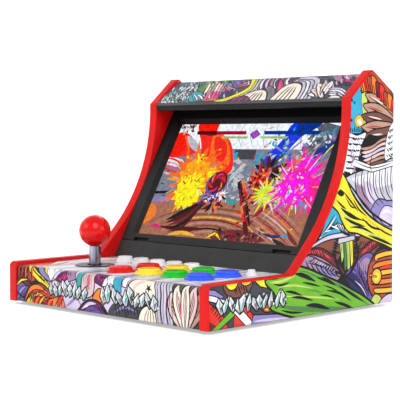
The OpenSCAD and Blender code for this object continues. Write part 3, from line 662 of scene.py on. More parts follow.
class Artwork:
    """Printed artwork made of flat shapes, the later ones on top, in millimetres."""

    def __init__(self, frame_points, base):
        self.frame = [Vector(p) for p in frame_points]
        self.shapes = [(self.frame, base)]
        self.cuts = []
        self.random = random.Random(7)

    def add(self, ink, points):
        """Adds an outline on top, without points that fall together."""
        kept = []
        for p in points:
            if not kept or (p - kept[-1]).length > 0.05:
                kept.append(p)
        if len(kept) > 2 and abs(area(kept)) > 0.1:
            self.shapes.append((kept, ink))

    def shape(self, ink, points, line, line_ink="ink"):
        """Adds a shape, over a slightly larger one that shows as its outline."""
        if line:
            self.add(line_ink, grown(points, line * INK_LINE))
        self.add(ink, points)

    def poly(self, ink, points, line=0.0, line_ink="ink"):
        self.shape(ink, [Vector(p) for p in points], line, line_ink)

    def blob(self, ink, points, line=0.0):
        """A smooth closed shape through points."""
        self.shape(ink, spline(points, True), line)

    def disc(self, ink, centre, radius, line=0.0, squash=1.0, turn=0.0, count=28):
        """A round or oval shape; turn is in degrees."""
        pts = []
        for k in range(count):
            a = math.tau * k / count
            p = Vector((radius * math.cos(a), radius * squash * math.sin(a)))
            p.rotate(Matrix.Rotation(math.radians(turn), 2))
            pts.append(Vector(centre) + p)
        self.shape(ink, pts, line)

    def stroke(self, ink, points, width, line=0.0, tail=0.15, head=0.15, steps=5):
        """A brush stroke through points; tail and head are its widths at the ends."""
        path = spline(points, False, steps)
        count = len(path)
        left, right = [], []
        for i, here in enumerate(path):
            along = path[min(i + 1, count - 1)] - path[max(i - 1, 0)]
            side = left_of(along.normalized())
            t = i / (count - 1)
            grow = min(1.0, t / 0.35)
            fade = min(1.0, (1 - t) / 0.35)
            w = width / 2 * (tail + (1 - tail) * grow) * (head + (1 - head) * fade)
            left.append(here + side * w)
            right.append(here - side * w)
        self.shape(ink, left + right[::-1], line)

    def row(self, inks, count, points, width, *style):
        """Strokes side by side; each point is (x, y, step in x, step in y)."""
        for k in range(count):
            path = [(x + dx * k, y + dy * k) for x, y, dx, dy in points]
            self.stroke(inks[k % len(inks)], path, width, *style)

    def strokes(self, ink, *paths):
        """Strokes of one ink, each given as its width and then its points."""
        for width, *points in paths:
            self.stroke(ink, points, width)

    def burst(self, ink, centre, inner, outer, spikes, line=0.0, turn=0.0, wild=0.3):
        """A spiky star; wild is how unequal its spikes are."""
        pts = []
        for k in range(spikes * 2):
            a = math.tau * k / (spikes * 2) + turn
            r = outer if k % 2 else inner
            r *= 1 + self.random.uniform(-wild, wild)
            pts.append(Vector(centre) + r * Vector((math.cos(a), math.sin(a))))
        self.shape(ink, pts, line)

    def hatch(self, ink, start, end, count, reach, width, sway=0.2):
        """Short strokes between two points, each reaching off by the vector reach."""
        a, b, r = Vector(start), Vector(end), Vector(reach)
        for k in range(count):
            t = (k + 0.5) / count
            p = a.lerp(b, t)
            scale = 1 + self.random.uniform(-sway, sway) * 2
            lean = Vector((self.random.uniform(-1, 1), self.random.uniform(-1, 1)))
            tip = p + r * scale + lean * r.length * sway * 0.5
            self.stroke(ink, [p, p.lerp(tip, 0.5) + lean * 0.3, tip], width, 0.0, 0.6, 0.1, 2)

    def shards(self, start, length, count, height):
        """A jagged band of silver splinters, where lettering would be: they spell nothing."""
        pitch = length / count
        for k in range(count):
            x = start[0] + (k + self.random.uniform(0.3, 0.7)) * pitch
            y = start[1] + self.random.uniform(-1.0, 1.8)
            tall = height * self.random.uniform(0.82, 1.22)
            lean = self.random.uniform(-2.8, 3.4)
            half = pitch * self.random.uniform(0.42, 0.62)
            foot = (x - lean, y)
            tip = (x + lean, y + tall)
            left = (x - half, y + tall * self.random.uniform(0.3, 0.7))
            right = (x + half, y + tall * self.random.uniform(0.35, 0.75))
            heart = (x - half * 0.1, y + tall * 0.42)
            self.poly("silver", [foot, (x + half * 0.55 - lean, y + tall * 0.1), right, tip, left], 1.2)
            self.poly(("grey", "teal", "slate")[k % 3], [foot, right, heart])
            self.poly("white", [tip, left, heart])
            chip = (x + half * 0.9, y + tall * (0.12, 0.86, 0.3)[k % 3])
            nick = [chip, (chip[0] + pitch * 0.5, chip[1] + 2.0), (chip[0] + pitch * 0.1, chip[1] + 3.4)]
            self.poly(("white", "mist", "silver")[k % 3], nick, 0.8)
            self.stroke("ink", [heart, (x + lean * 0.8, y + tall * 0.86)], 0.8, 0, 0.5, 0.1, 2)

    def debris(self, inks, centre, spread, count, size):
        """Small scattered chips round a point."""
        for k in range(count):
            x = self.random.gauss(centre[0], spread[0])
            y = self.random.gauss(centre[1], spread[1])
            s = size * self.random.uniform(0.5, 1.6)
            a = self.random.uniform(0, math.tau)
            way = Vector((math.cos(a), math.sin(a))) * s
            p = Vector((x, y))
            across = left_of(way)
            self.add(inks[k % len(inks)], [p - way * 1.3, p + across * 0.5, p + way, p - across * 0.4])

    def rays(self, inks, centre, near, far, count, width, turn=0.0):
        """Streaks that fly out from a point."""
        for k in range(count):
            a = math.tau * k / count + turn + self.random.uniform(-0.12, 0.12)
            way = Vector((math.cos(a), math.sin(a)))
            start = Vector(centre) + way * near
            end = Vector(centre) + way * far * self.random.uniform(0.7, 1.15)
            self.stroke(inks[k % len(inks)], [start, start.lerp(end, 0.4), end], width, 0, 0.9, 0.05, 3)

    def hole(self, centre, radius):
        """A round opening that leaves the sheet bare."""
        self.disc(None, centre, radius, count=40)

    def faces(self):
        """Triangles with the ink of the topmost shape, and their corners."""
        verts, edges, loops = [], [], []
        for pts, _ in self.shapes:
            ordered = pts if area(pts) > 0 else pts[::-1]
            first = len(verts)
            verts += ordered
            loops.append(list(range(first, first + len(ordered))))
        for a, b in self.cuts:
            edges.append((len(verts), len(verts) + 1))
            verts += [Vector(a), Vector(b)]
        made = delaunay_2d_cdt(verts, edges, loops, 0, 1e-4)
        corners, _, triangles, _, _, origins = made
        kept = []
        for triangle, origin in zip(triangles, origins):
            if 0 not in origin:
                continue
            ink = self.shapes[max(origin)][1]
            if ink:
                kept.append((triangle, ink))
        return corners, kept


def art_sheet(name, art, place, normal_side, material, thickness=0.1):
    """Turns artwork into a thin closed sheet; place maps its millimetres to the frame."""
    corners, triangles = art.faces()
    bm = bmesh.new()
    layer = bm.loops.layers.float_color.new("ink")
    verts = {}
    for triangle, ink in triangles:
        for index in triangle:
            if index not in verts:
                verts[index] = bm.verts.new(place(corners[index]))
        try:
            face = bm.faces.new([verts[i] for i in triangle])
        except ValueError:
            continue
        colour = linear(INKS[ink])
        for loop in face.loops:
            loop[layer] = colour
        face.normal_update()
    facing = sum((f.normal * f.calc_area() for f in bm.faces), Vector())
    if facing.dot(normal_side) < 0:
        bmesh.ops.reverse_faces(bm, faces=bm.faces)
    mesh = mesh_from(bm, name)
    made = add_object(name, mesh, material, "cabinet")
    film = made.modifiers.new("film", "SOLIDIFY")
    film.thickness = thickness * MM
    film.offset = -1.0


# ---- The side artwork --------------------------------------------------------------


def side_art():
    """Swirls, swooshes and speed lines on a side panel, as (depth, height above the panel)."""
    edge = [Vector((p.x, p.y - BASE_Z)) for p in outline(trim_offsets(TRIM_T + 0.15, 0.3))]
    art = Artwork(edge, "ink")
    side_upper(art)
    side_drapes(art)
    side_middle(art)
    side_foot(art)
    side_swoosh(art)
    art.shards((13, 14), 101, 12, 15.5)
    return art


def side_upper(art):
    """Cyan field with ink splashes, and a fan of brown feathers under a crest of flames."""
    art.poly("teal", [(256, 264), (304, 230), (304, 250), (262, 270)], 0.5)
    art.row(("ink",), 8, [(260, 264, 5, -3.4), (266, 254, 5, -3.2)], 1.6)
    art.blob("lime", [(236, 196), (250, 206), (252, 226), (250, 246), (258, 258), (240, 250)])
    art.blob("cyan", [(214, 194), (228, 193), (243, 195), (244, 212), (241, 228), (243, 244), (250, 262),
                      (228, 250), (212, 236)], 0.4)
    art.blob("gold", [(230, 208), (234, 200), (243, 201), (247, 197), (245, 208), (238, 213)], 0.4)
    art.blob("cream", [(234, 206), (238, 202), (243, 204), (239, 209)])
    for x, y, r in ((224, 229, 4.6), (222, 221, 3.4), (229, 226, 2.6), (224, 207, 3.2), (221, 201, 2.4)):
        art.burst("ink", (x, y), r * 0.35, r, 7, wild=0.4)
    for k in range(9):
        art.stroke("ink", [(219 + 3.3 * k, 194), (220 + 3.3 * k, 199 + 2 * (k % 2))], 1.8, 0, 0.9, 0.1, 2)

    art.poly("brown", [(268, 250), (306, 226), (306, 150), (262, 160), (256, 200)])
    root = Vector((312, 196))
    for k, tip in enumerate(((262, 243), (249, 236), (245, 224), (243, 212), (243, 200), (247, 189))):
        tip = Vector(tip)
        bow = root.lerp(tip, 0.5) + Vector((0, 9 - 2.4 * k))
        ink = ("brown", "tan", "tan", "brown", "tan", "brown")[k]
        art.stroke(ink, [root, bow, tip], 17, 0.9, 0.7, 0.05)
        art.stroke("ink", [root, bow, tip.lerp(bow, 0.15)], 1.6, 0, 0.6, 0.1)
        for t in (0.35, 0.5, 0.65, 0.8):
            barb = root.lerp(bow, t * 1.2) if t < 0.6 else bow.lerp(tip, t * 1.6 - 0.95)
            art.stroke("ink", [barb, barb + Vector((-5.5, -3.2))], 1.3, 0, 0.8, 0.1, 2)
        shine = [bow + Vector((2, 2.6)), tip.lerp(bow, 0.3) + Vector((1, 1.6))]
        art.stroke(("rust", "cream")[k % 2], shine, 1.6)
    art.blob("rust", [(242, 238), (246, 252), (260, 264), (278, 256), (294, 242), (304, 226), (304, 214),
                      (292, 228), (276, 240), (258, 245)], 0.9)
    for k in range(9):
        base = Vector((246 + 6.6 * k, 238 + 5 * math.sin(0.55 * k + 0.2) - 1.9 * k))
        tip = base + Vector((-9 + 1.2 * k, 19 - 0.7 * k + 3 * (k % 2)))
        flame = ("orange", "red", "rust", "orange", "maroon", "red", "rust", "orange", "red")[k]
        art.stroke(flame, [base, base.lerp(tip, 0.5) + Vector((3, 0)), tip], 9.0, 0.8, 0.6, 0.05)
        art.stroke("ink", [base, base.lerp(tip, 0.55)], 1.5, 0, 0.8, 0.1, 3)


def side_drapes(art):
    """White fur with ink dashes, straps and long pale folds."""
    art.poly("ink", [(236, 158), (242, 182), (256, 192), (306, 186), (306, 156)])
    for k in range(6):
        ink = ("tan", "blush", "lilac", "blush", "tan", "brown")[k]
        path = [(306, 186 - 5.5 * k), (282, 184 - 5 * k), (262, 176 - 4 * k), (240 + 2 * k, 176 - 4.4 * k)]
        art.stroke(ink, path, 6.6, 0.7, 0.9, 0.1)
        art.stroke("ink", path[:3], 1.0, 0, 0.8, 0.1)
    art.blob("white", [(208, 142), (211, 160), (217, 180), (217, 193), (234, 190), (250, 193), (242, 180),
                       (236, 164), (224, 148)], 0.5)
    for row in range(7):
        z = 189 - 6.6 * row
        lean = 0.8 * row
        art.hatch("ink", (217 - lean, z), (246 - 2.4 * row, z - 2), 7, (5.5, -2.4), 1.9)
        art.hatch("mist", (219 - lean, z - 3), (244 - 2.4 * row, z - 4), 4, (4, -3), 1.6)
    art.hatch("ink", (211, 152), (222, 150), 5, (2, -9), 3.0)
    art.hatch("mauve", (222, 170), (230, 150), 6, (6, 8), 2.2)
    art.blob("white", [(286, 164), (288, 182), (294, 198), (306, 206), (306, 172), (298, 160)], 0.5)
    for row in range(5):
        art.hatch("ink", (287 + row, 168 + 7 * row), (302, 171 + 7 * row), 4, (4, -2.5), 1.9)
    art.stroke("ink", [(284, 168), (290, 160), (304, 172)], 2.2)

    art.blob("mist", [(212, 142), (238, 150), (270, 154), (308, 161), (308, 98), (284, 92), (262, 100),
                      (240, 116), (224, 132)], 1.0)
    art.blob("white", [(226, 143), (262, 149), (306, 156), (306, 138), (270, 132), (244, 136)])
    art.blob("mauve", [(232, 136), (252, 130), (264, 112), (258, 105), (242, 120)])
    art.blob("lilac", [(246, 138), (262, 136), (274, 116), (266, 108), (254, 122)])
    art.blob("violet", [(262, 108), (274, 118), (290, 116), (308, 112), (308, 84), (286, 88),
                        (268, 98)], 0.9)
    art.blob("lilac", [(276, 98), (286, 110), (304, 106), (308, 92), (292, 88)], 0.7)
    art.stroke("white", [(280, 102), (290, 105), (300, 101)], 2.4)
    for k in range(7):
        top = 233 + 11 * k
        foot = (min(top + 26 - 2.6 * k, 303), 108 + 1.6 * k)
        art.stroke("ink", [(top, 150 + 1.4 * k), (top - 1.5, 138), (top + 4, 124), foot], 1.9, 0, 0.8, 0.3)
        art.stroke("grey", [(top + 4, 148 + k), (top + 3, 137), (top + 8, 124)], 2.2)
    art.poly("white", [(224, 158), (262, 150), (306, 157), (306, 162), (262, 156), (230, 164)], 0.7)
    art.stroke("ink", [(228, 163), (262, 154), (304, 160)], 1.3)
    art.stroke("ink", [(262, 150), (258, 158), (264, 172)], 1.6)
    art.stroke("ink", [(214, 143), (232, 128), (252, 110), (278, 96), (304, 86)], 3.0, 0, 0.7, 0.7)


def side_middle(art):
    """A yellow swoosh, a cyan wedge, and dark arcs in brown, red and violet under them."""
    art.blob("brown", [(150, 62), (168, 77), (200, 80), (206, 62), (190, 50), (170, 56)])
    art.blob("clay", [(160, 70), (176, 77), (192, 75), (184, 64)])
    art.blob("brown", [(228, 78), (262, 80), (284, 74), (262, 56), (236, 54)])
    art.blob("clay", [(240, 76), (262, 77), (274, 71), (254, 62)])
    art.hatch("ink", (196, 80), (188, 52), 9, (12, -3), 2.6)
    art.hatch("ink", (230, 80), (228, 56), 8, (13, 4), 2.6)
    left_band = ((150, 66), (170, 65), (190, 56), (212, 40))
    right_band = ((284, 73), (264, 68), (244, 58), (226, 46))
    for path in (left_band, right_band):
        art.stroke("maroon", path, 9.5, 1.0, 0.5, 0.3)
        art.stroke("red", [Vector(p) + Vector((0, 0.8)) for p in path[:3]], 3.6)
        art.stroke("pink", [Vector(p) + Vector((0, 2.0)) for p in path[:3]], 1.0)

    art.poly("cyan", [(196, 124), (214, 92), (206, 84), (190, 83), (170, 80), (182, 100)], 0.7)
    lines = [(166, 78, 3.2, 2.2), (182, 91, 2.7, -0.2), (196, 106, 2.2, -2.6)]
    art.row(("ink", "white", "ink"), 8, lines, 1.9)
    art.stroke("lilac", [(156, 72), (182, 80), (214, 82), (240, 80)], 4.0, 0.8, 0.3, 0.4)
    art.row(("mist", "white"), 4, [(200, 95, 4, -1), (212, 86, 2, 0), (232, 80, -3, 3)], 3.6, 0.8)

    art.blob("yellow", [(202, 152), (214, 143), (226, 126), (242, 110), (262, 97), (284, 87), (308, 77),
                        (308, 61), (284, 68), (258, 76), (236, 83), (220, 86), (210, 96), (202, 108),
                        (190, 118), (194, 134)], 1.2)
    art.stroke("lime", [(200, 116), (220, 98), (250, 84), (292, 71)], 3.6)
    art.stroke("gold", [(212, 136), (232, 115), (262, 93), (298, 78)], 1.8)
    art.blob("ink", [(200, 128), (206, 132), (212, 127), (207, 124)])
    art.strokes(
        "ink",
        (2.4, (210, 130), (224, 118), (238, 106)), (4.2, (206, 112), (222, 103), (240, 97)),
        (2.0, (214, 124), (224, 113), (234, 110)), (3.4, (212, 101), (230, 94), (250, 89)),
        (2.6, (222, 90), (244, 88), (266, 80)), (2.2, (228, 121), (238, 109), (252, 101)),
        (2.6, (244, 99), (262, 88), (284, 83)), (3.4, (256, 79), (280, 72), (304, 64)),
        (2.4, (198, 121), (208, 114), (216, 110)), (2.0, (270, 88), (288, 80), (306, 74)),
        (1.8, (222, 134), (232, 121), (244, 113)), (1.6, (218, 108), (236, 99), (256, 94)),
    )

    for k in range(4):
        x = 205 + 5.6 * k
        low = (52, 42, 37, 46)[k]
        tassel = [(x, 74), (x + 5, 76), (x + 6.5, low + 6), (x + 3.6, low)]
        art.poly(("lime", "leaf", "lime", "yellow")[k], tassel, 0.9)
        art.stroke("ink", [(x + 2.4, 72), (x + 3.6, low + 9)], 1.1, 0, 0.5, 0.2, 2)
    art.poly("mist", [(202, 73), (231, 76), (230, 80), (203, 78)], 0.9)

    art.blob("mauve", [(138, 54), (152, 63), (170, 60), (190, 51), (206, 40), (196, 33), (166, 42)], 1.0)
    art.blob("violet", [(168, 52), (186, 50), (200, 41), (190, 37), (174, 42)])
    art.blob("purple", [(216, 36), (232, 48), (250, 58), (264, 56), (258, 40), (256, 24), (266, 4),
                        (240, 14)], 0.9)
    art.blob("navy", [(214, 34), (226, 40), (240, 30), (256, 8), (236, 16)])
    art.blob("mauve", [(240, 46), (252, 54), (262, 48), (256, 38)])
    art.row(("ink",), 7, [(146, 60, 8, -2.2), (152, 51, 8, -2), (160, 45, 8, -1.6)], 1.9)
    art.row(("ink",), 7, [(236, 54, 4, -1.5), (238, 40, 3, -3), (246, 28, 2, -3)], 1.6)
    art.stroke("ink", [(150, 56), (176, 50), (206, 40), (234, 26), (262, 2)], 3.0)
    art.stroke("lilac", [(232, 30), (244, 22), (254, 10)], 1.6)

    art.hatch("ink", (152, 70), (196, 66), 12, (5, -8), 1.5)
    art.hatch("ink", (240, 74), (276, 70), 10, (-4, -9), 1.6)
    art.hatch("ink", (150, 58), (200, 38), 16, (6, 2), 1.2)
    art.hatch("lilac", (160, 56), (196, 42), 9, (4, 3), 1.0)
    art.hatch("ink", (230, 46), (258, 10), 14, (-5, 2), 1.3)
    art.hatch("mauve", (240, 50), (262, 20), 10, (-4, 3), 1.4)
    art.row(("ink",), 6, [(206, 38, -9, 5), (190, 50, -8, 3), (176, 54, -6, 2)], 1.3)
    art.stroke("ink", [(200, 78), (196, 60), (208, 40), (228, 20)], 4.2)
    art.stroke("ink", [(232, 78), (238, 60), (226, 42), (214, 34)], 4.2)
    art.disc("rust", (285, 32), 29, 1.5)
    art.stroke("maroon", [(262, 48), (276, 57), (296, 58)], 6.0)
    for k in range(6):
        y = 52 - 9.0 * k
        lift = 4.0 - 1.5 * k
        start = (258 + 0.66 * abs(y - 32), y - lift * 0.6)
        path = [start, (272, y + lift * 0.4), (290, y + lift), (308, y + lift)]
        art.stroke(("gold", "orange")[k % 2], path, 4.6, 1.0, 0.3, 0.9)
    art.stroke("red", [(276, 40), (292, 41), (306, 40)], 3.0)
    art.disc("gold", (272, 31.5), 8.2, 1.2)
    art.disc("yellow", (272, 31.5), 5.0)
    art.stroke("orange", [(262, 33), (268, 32), (272, 31)], 1.6, 0.4)
    art.blob("lime", [(262, 4), (270, 11), (280, 6), (274, -4), (264, -5)], 0.9)
    art.blob("lilac", [(274, -5), (284, 5), (298, 9), (308, 4), (300, -8)], 0.9)


def side_foot(art):
    """Bands, wedges and tongues of colour at the panel's front foot."""
    art.poly("slate", [(-2, -2), (112, -2), (100, 46), (-2, 48)])
    art.poly("red", [(-2, -2), (30, -2), (20, 14), (-2, 30)], 0.9)
    art.poly("maroon", [(-2, 12), (12, 4), (16, -2), (-2, -2)])
    art.hatch("ink", (2, 22), (20, 4), 7, (5, 5), 1.4)
    art.poly("green", [(2, -2), (11, -2), (56, 22), (48, 26)], 0.8)
    art.poly("red", [(36, -2), (64, -2), (64, 10), (52, 20), (38, 12)], 0.8)
    art.poly("white", [(42, 22), (60, 6), (68, -2), (57, -2), (36, 16)], 0.8)
    art.poly("violet", [(-2, 41), (10, 39), (22, 32), (14, 30), (-2, 36)], 0.8)
    art.poly("white", [(-2, 36), (10, 33), (24, 28), (20, 25), (6, 29), (-2, 31)], 0.7)
    art.blob("brown", [(22, 42), (30, 32), (46, 30), (60, 36), (62, 48), (30, 48)], 0.9)
    art.blob("clay", [(32, 38), (42, 34), (52, 37), (44, 41)])
    art.hatch("ink", (30, 42), (56, 40), 7, (3, -7), 1.8)
    art.blob("yellow", [(25, 47), (30, 39), (38, 39), (42, 47)], 0.8)
    art.blob("gold", [(46, 47), (52, 41), (60, 42), (62, 47)], 0.7)
    art.poly("yellow", [(64, 47), (76, 38), (96, 33), (86, 40), (78, 47)], 0.9)
    art.poly("lime", [(82, 47), (92, 40), (104, 38), (100, 47)], 0.8)
    art.poly("violet", [(66, 9), (104, 6), (160, -2), (62, -2)], 0.9)
    art.stroke("lilac", [(66, 3), (96, 1.8), (134, -1)], 3.0)
    art.blob("rust", [(76, 17), (84, 11), (94, 12), (90, 19)], 0.8)
    art.stroke("gold", [(80, 15), (86, 13), (92, 14)], 1.8)


def side_swoosh(art):
    """The long green swoosh along the bottom, cut by black and dark green strokes."""
    art.blob("green", [(84, 42), (104, 43), (128, 52), (146, 50), (172, 41), (200, 31), (226, 20), (250, 9),
                       (268, -4), (230, -8), (176, -6), (140, -1), (112, 6), (92, 14), (100, 26)], 1.5)
    art.stroke("leaf", [(96, 16), (140, 8), (190, 3), (240, -2)], 6.0)
    art.stroke("leaf", [(150, 44), (190, 32), (230, 15), (258, 0)], 3.6)
    art.stroke("lime", [(90, 40), (108, 40), (130, 44)], 3.0)
    art.stroke("lime", [(104, 34), (128, 34), (160, 28)], 2.0)
    art.stroke("lime", [(112, 24), (150, 20), (206, 12)], 2.0)
    art.strokes(
        "ink",
        (5.0, (130, 46), (144, 43), (164, 35)), (4.4, (166, 39), (182, 35), (198, 28)),
        (2.4, (142, 36), (156, 33), (172, 29)), (3.0, (114, 29), (126, 27), (142, 22)),
        (3.2, (124, 22), (140, 20), (160, 15)), (5.0, (148, 11), (166, 9), (188, 3)),
        (3.0, (182, 24), (204, 19), (226, 8)), (3.4, (204, 27), (224, 17), (248, 5)),
        (2.2, (96, 38), (108, 36), (122, 38)), (2.8, (96, 24), (106, 19), (118, 16)),
        (3.6, (196, 10), (214, 5), (232, -2)), (1.8, (170, 20), (184, 18), (198, 13)),
        (2.6, (108, 10), (124, 6), (144, 4)), (1.8, (176, 30), (190, 26), (204, 20)),
    )
    art.strokes("leaf", (1.6, (150, 27), (164, 25), (176, 21)), (1.6, (132, 49), (150, 46), (176, 37)))


def side_sheets(material):
    """The printed sheets on the outside of both side panels."""
    for side in (-1, 1):
        def place(p, side=side):
            return spot(side * (HALF_WIDTH + FILM_LIFT), p.x, p.y + BASE_Z)

        name = "art_left" if side < 0 else "art_right"
        art_sheet(name, side_art(), place, Vector((side, 0, 0)), material)


# ---- The deck artwork --------------------------------------------------------------

DECK_GAP = 0.4  # bare sheet at the foot and at the seam
FRONT_H = DECK_Z - DECK_BEND - BASE_Z - DECK_GAP
BEND_L = math.pi / 2 * DECK_BEND
DECK_BACK = SEAM_Y - (SEAM_Z - DECK_Z) * math.tan(TILT) - DECK_GAP
DECK_TOP0 = DECK_FRONT + DECK_BEND
DECK_L = FRONT_H + BEND_L + DECK_BACK - DECK_TOP0


def deck_place(p):
    """Wraps (x, distance up the front and over the deck) round the bend."""
    x, s = p.x, p.y
    if s <= FRONT_H:
        return spot(x, DECK_FRONT - FILM_LIFT, BASE_Z + DECK_GAP + s)
    if s <= FRONT_H + BEND_L:
        a = (s - FRONT_H) / DECK_BEND
        r = DECK_BEND + FILM_LIFT
        return spot(x, DECK_TOP0 - r * math.cos(a), DECK_Z - DECK_BEND + r * math.sin(a))
    return spot(x, DECK_TOP0 + s - FRONT_H - BEND_L, DECK_Z + FILM_LIFT)


def on_deck(x, y):
    """A deck position (x, depth) as a point of the deck artwork."""
    return (x, FRONT_H + BEND_L + y - DECK_TOP0)


def deck_sweeps(art):
    """The deck itself: long pale sweeps that fan out towards the back."""
    art.blob("white", [(-140, 44), (-60, 50), (-10, 120), (-40, 200), (-150, 200), (-144, 120)])
    art.blob("sky", [(-20, 60), (30, 60), (60, 120), (40, 200), (-10, 200), (-8, 120)])
    art.blob("white", [(40, 50), (90, 46), (140, 80), (150, 200), (60, 200), (70, 120)])
    art.blob("rust", [(-152, 164), (-142, 166), (-126, 184), (-118, 206), (-156, 206)], 1.0)
    art.blob("tan", [(-144, 174), (-134, 184), (-126, 204), (-142, 204)])
    art.blob("red", [(-152, 40), (-138, 44), (-128, 62), (-140, 84), (-152, 92)], 1.0)
    art.stroke("orange", [(-152, 38), (-132, 50), (-122, 72), (-132, 100)], 6.0, 0.9)
    art.stroke("yellow", [(-138, 38), (-122, 50), (-112, 70), (-118, 96)], 3.6, 0.7)
    sweeps = ("blush", "lilac", "sky", "mist", "blush", "lilac", "white", "mist", "lilac", "sky")
    for k, ink in enumerate(sweeps):
        x = -112 + 25.5 * k
        bend = 7 * math.sin(1.7 * k)
        art.stroke(ink, [(x, 46), (x + bend, 96), (x - bend, 146), (x + 3, 192)], 9.0, 0.8, 0.6, 0.6)
        art.stroke("mist", [(x + 9, 52), (x + 12, 96), (x + 8, 140)], 2.0)
    art.stroke("teal", [(-36, 40), (-30, 62), (-33, 90)], 4.0, 0.7)
    art.stroke("cyan", [(26, 40), (24, 60), (29, 84)], 5.0, 0.7)
    art.stroke("tan", [(128, 92), (138, 118), (132, 150)], 5.0, 0.7)
    for k in range(16):
        x = -104 + 15.5 * k
        art.stroke("ink", [(x, 50), (x + 3, 84 + 6 * (k % 3)), (x - 2, 118)], 1.2)
    art.hatch("ink", (112, 60), (148, 60), 7, (2, 20), 1.2)


def front_left_end(art):
    """Front, left end: dark brown and violet behind a flame-like ball."""
    art.poly("brown", [(-152, 18), (-128, 20), (-120, 46), (-152, 46)], 0.9)
    art.blob("maroon", [(-150, 24), (-140, 40), (-128, 42), (-132, 26)])
    art.poly("purple", [(-152, -2), (-124, -2), (-126, 18), (-152, 24)], 0.9)
    art.stroke("violet", [(-148, 2), (-142, 12), (-132, 18)], 4.0, 0.6)
    art.stroke("ink", [(-150, 12), (-140, 6), (-128, 2)], 2.2)
    art.blob("maroon", [(-138, 24), (-128, 40), (-112, 40), (-104, 26), (-118, 18)], 0.9)
    art.blob("rust", [(-134, 28), (-126, 36), (-116, 34), (-116, 26), (-126, 24)])
    art.hatch("ink", (-146, 40), (-118, 22), 12, (4, -7), 1.3)
    art.hatch("ink", (-148, 8), (-126, 14), 8, (3, -7), 1.2)
    art.stroke("yellow", [(-134, 46), (-118, 36), (-100, 26), (-78, 15)], 8.0, 0.9)
    art.stroke("ink", [(-128, 44), (-110, 33), (-90, 22)], 1.6)
    art.stroke("violet", [(-116, 47), (-100, 36), (-84, 27)], 6.0, 0.8)
    art.stroke("yellow", [(-104, 47), (-92, 37), (-80, 29)], 4.0, 0.7)
    art.disc("rust", (-108, -4), 27, 1.1)
    art.disc("red", (-110, -5), 22)
    art.stroke("orange", [(-132, 4), (-122, 16), (-108, 19), (-92, 13)], 4.6, 0.7)
    art.stroke("gold", [(-126, 0), (-118, 9), (-106, 11), (-94, 6)], 3.4, 0.6)
    art.disc("gold", (-124, 0), 6.0, 0.7)
    art.disc("yellow", (-124, 0), 3.6)
    art.stroke("maroon", [(-112, -2), (-100, 2), (-90, -2)], 3.0)
    art.row(("red", "orange"), 4, [(-90, -2, 8, 0), (-87, 6, 8, 0), (-81, 13, 8, 0)], 5.4, 0.6)
    for k in range(6):
        x = -134 + 7.5 * k
        art.stroke("ink", [(x, -3), (x + 6, 7), (x + 17, 15 - 1.2 * k)], 1.7)
        art.stroke(("yellow", "maroon", "orange")[k % 3], [(x + 3, -3), (x + 9, 5), (x + 18, 9)], 1.6)
    for k in range(5):
        x = -151 + 6.4 * k
        art.stroke("ink", [(x, 45), (x + 4, 34), (x + 2, 21)], 1.9)
        art.stroke(("rust", "red", "orange")[k % 3], [(x + 3, 44), (x + 6, 36), (x + 5, 28)], 1.5)
    art.stroke("yellow", [(-150, 17), (-141, 24), (-129, 26)], 2.2, 0.7)
    art.stroke("ink", [(-128, 20), (-116, 25), (-101, 24)], 2.0)
    art.hatch("ink", (-118, 38), (-100, 28), 6, (6, -3), 1.3)


def front_left(art):
    """Front, left of the middle: pale triangles, plum gems and a teal stripe."""
    art.poly("white", [(-98, 47), (-70, 47), (-86, 28)], 0.9)
    art.poly("plum", [(-78, 30), (-62, 44), (-50, 38), (-66, 27)], 0.9)
    art.poly("mauve", [(-62, 47), (-48, 47), (-42, 34), (-54, 30)], 0.9)
    art.poly("magenta", [(-72, 31), (-62, 39), (-56, 36), (-66, 29)])
    art.poly("lilac", [(-64, 12), (-48, 20), (-34, 6), (-42, -2), (-58, -2)], 0.9)
    art.stroke("violet", [(-58, 2), (-50, 8), (-42, 12)], 3.0)
    art.poly("teal", [(-38, 47), (-26, 47), (-34, 14), (-42, 14)], 0.9)
    art.blob("blush", [(-26, 46), (-12, 44), (-14, 20), (-30, 16), (-32, 30)], 0.9)
    art.stroke("pink", [(-22, 42), (-20, 32), (-26, 22)], 3.0)
    art.blob("orange", [(-14, 14), (-4, 26), (4, 22), (-2, 10)], 0.8)
    art.poly("plum", [(-12, 47), (-10, 34), (4, 29), (12, 40), (6, 47)], 0.9)
    art.stroke("magenta", [(-8, 42), (0, 36), (8, 38)], 2.6)
    art.poly("white", [(2, 30), (20, 33), (24, 47), (12, 47)], 0.9)
    art.disc("plum", (-13, -14), 27, 1.2)
    art.disc("purple", (-13, -16), 22)
    art.stroke("lilac", [(-32, 2), (-20, 9), (-8, 10)], 3.6, 0.4)
    art.stroke("white", [(-28, 4), (-20, 7.5)], 1.6)
    art.stroke("ink", [(0, 8), (10, 0), (14, -4)], 3.0)


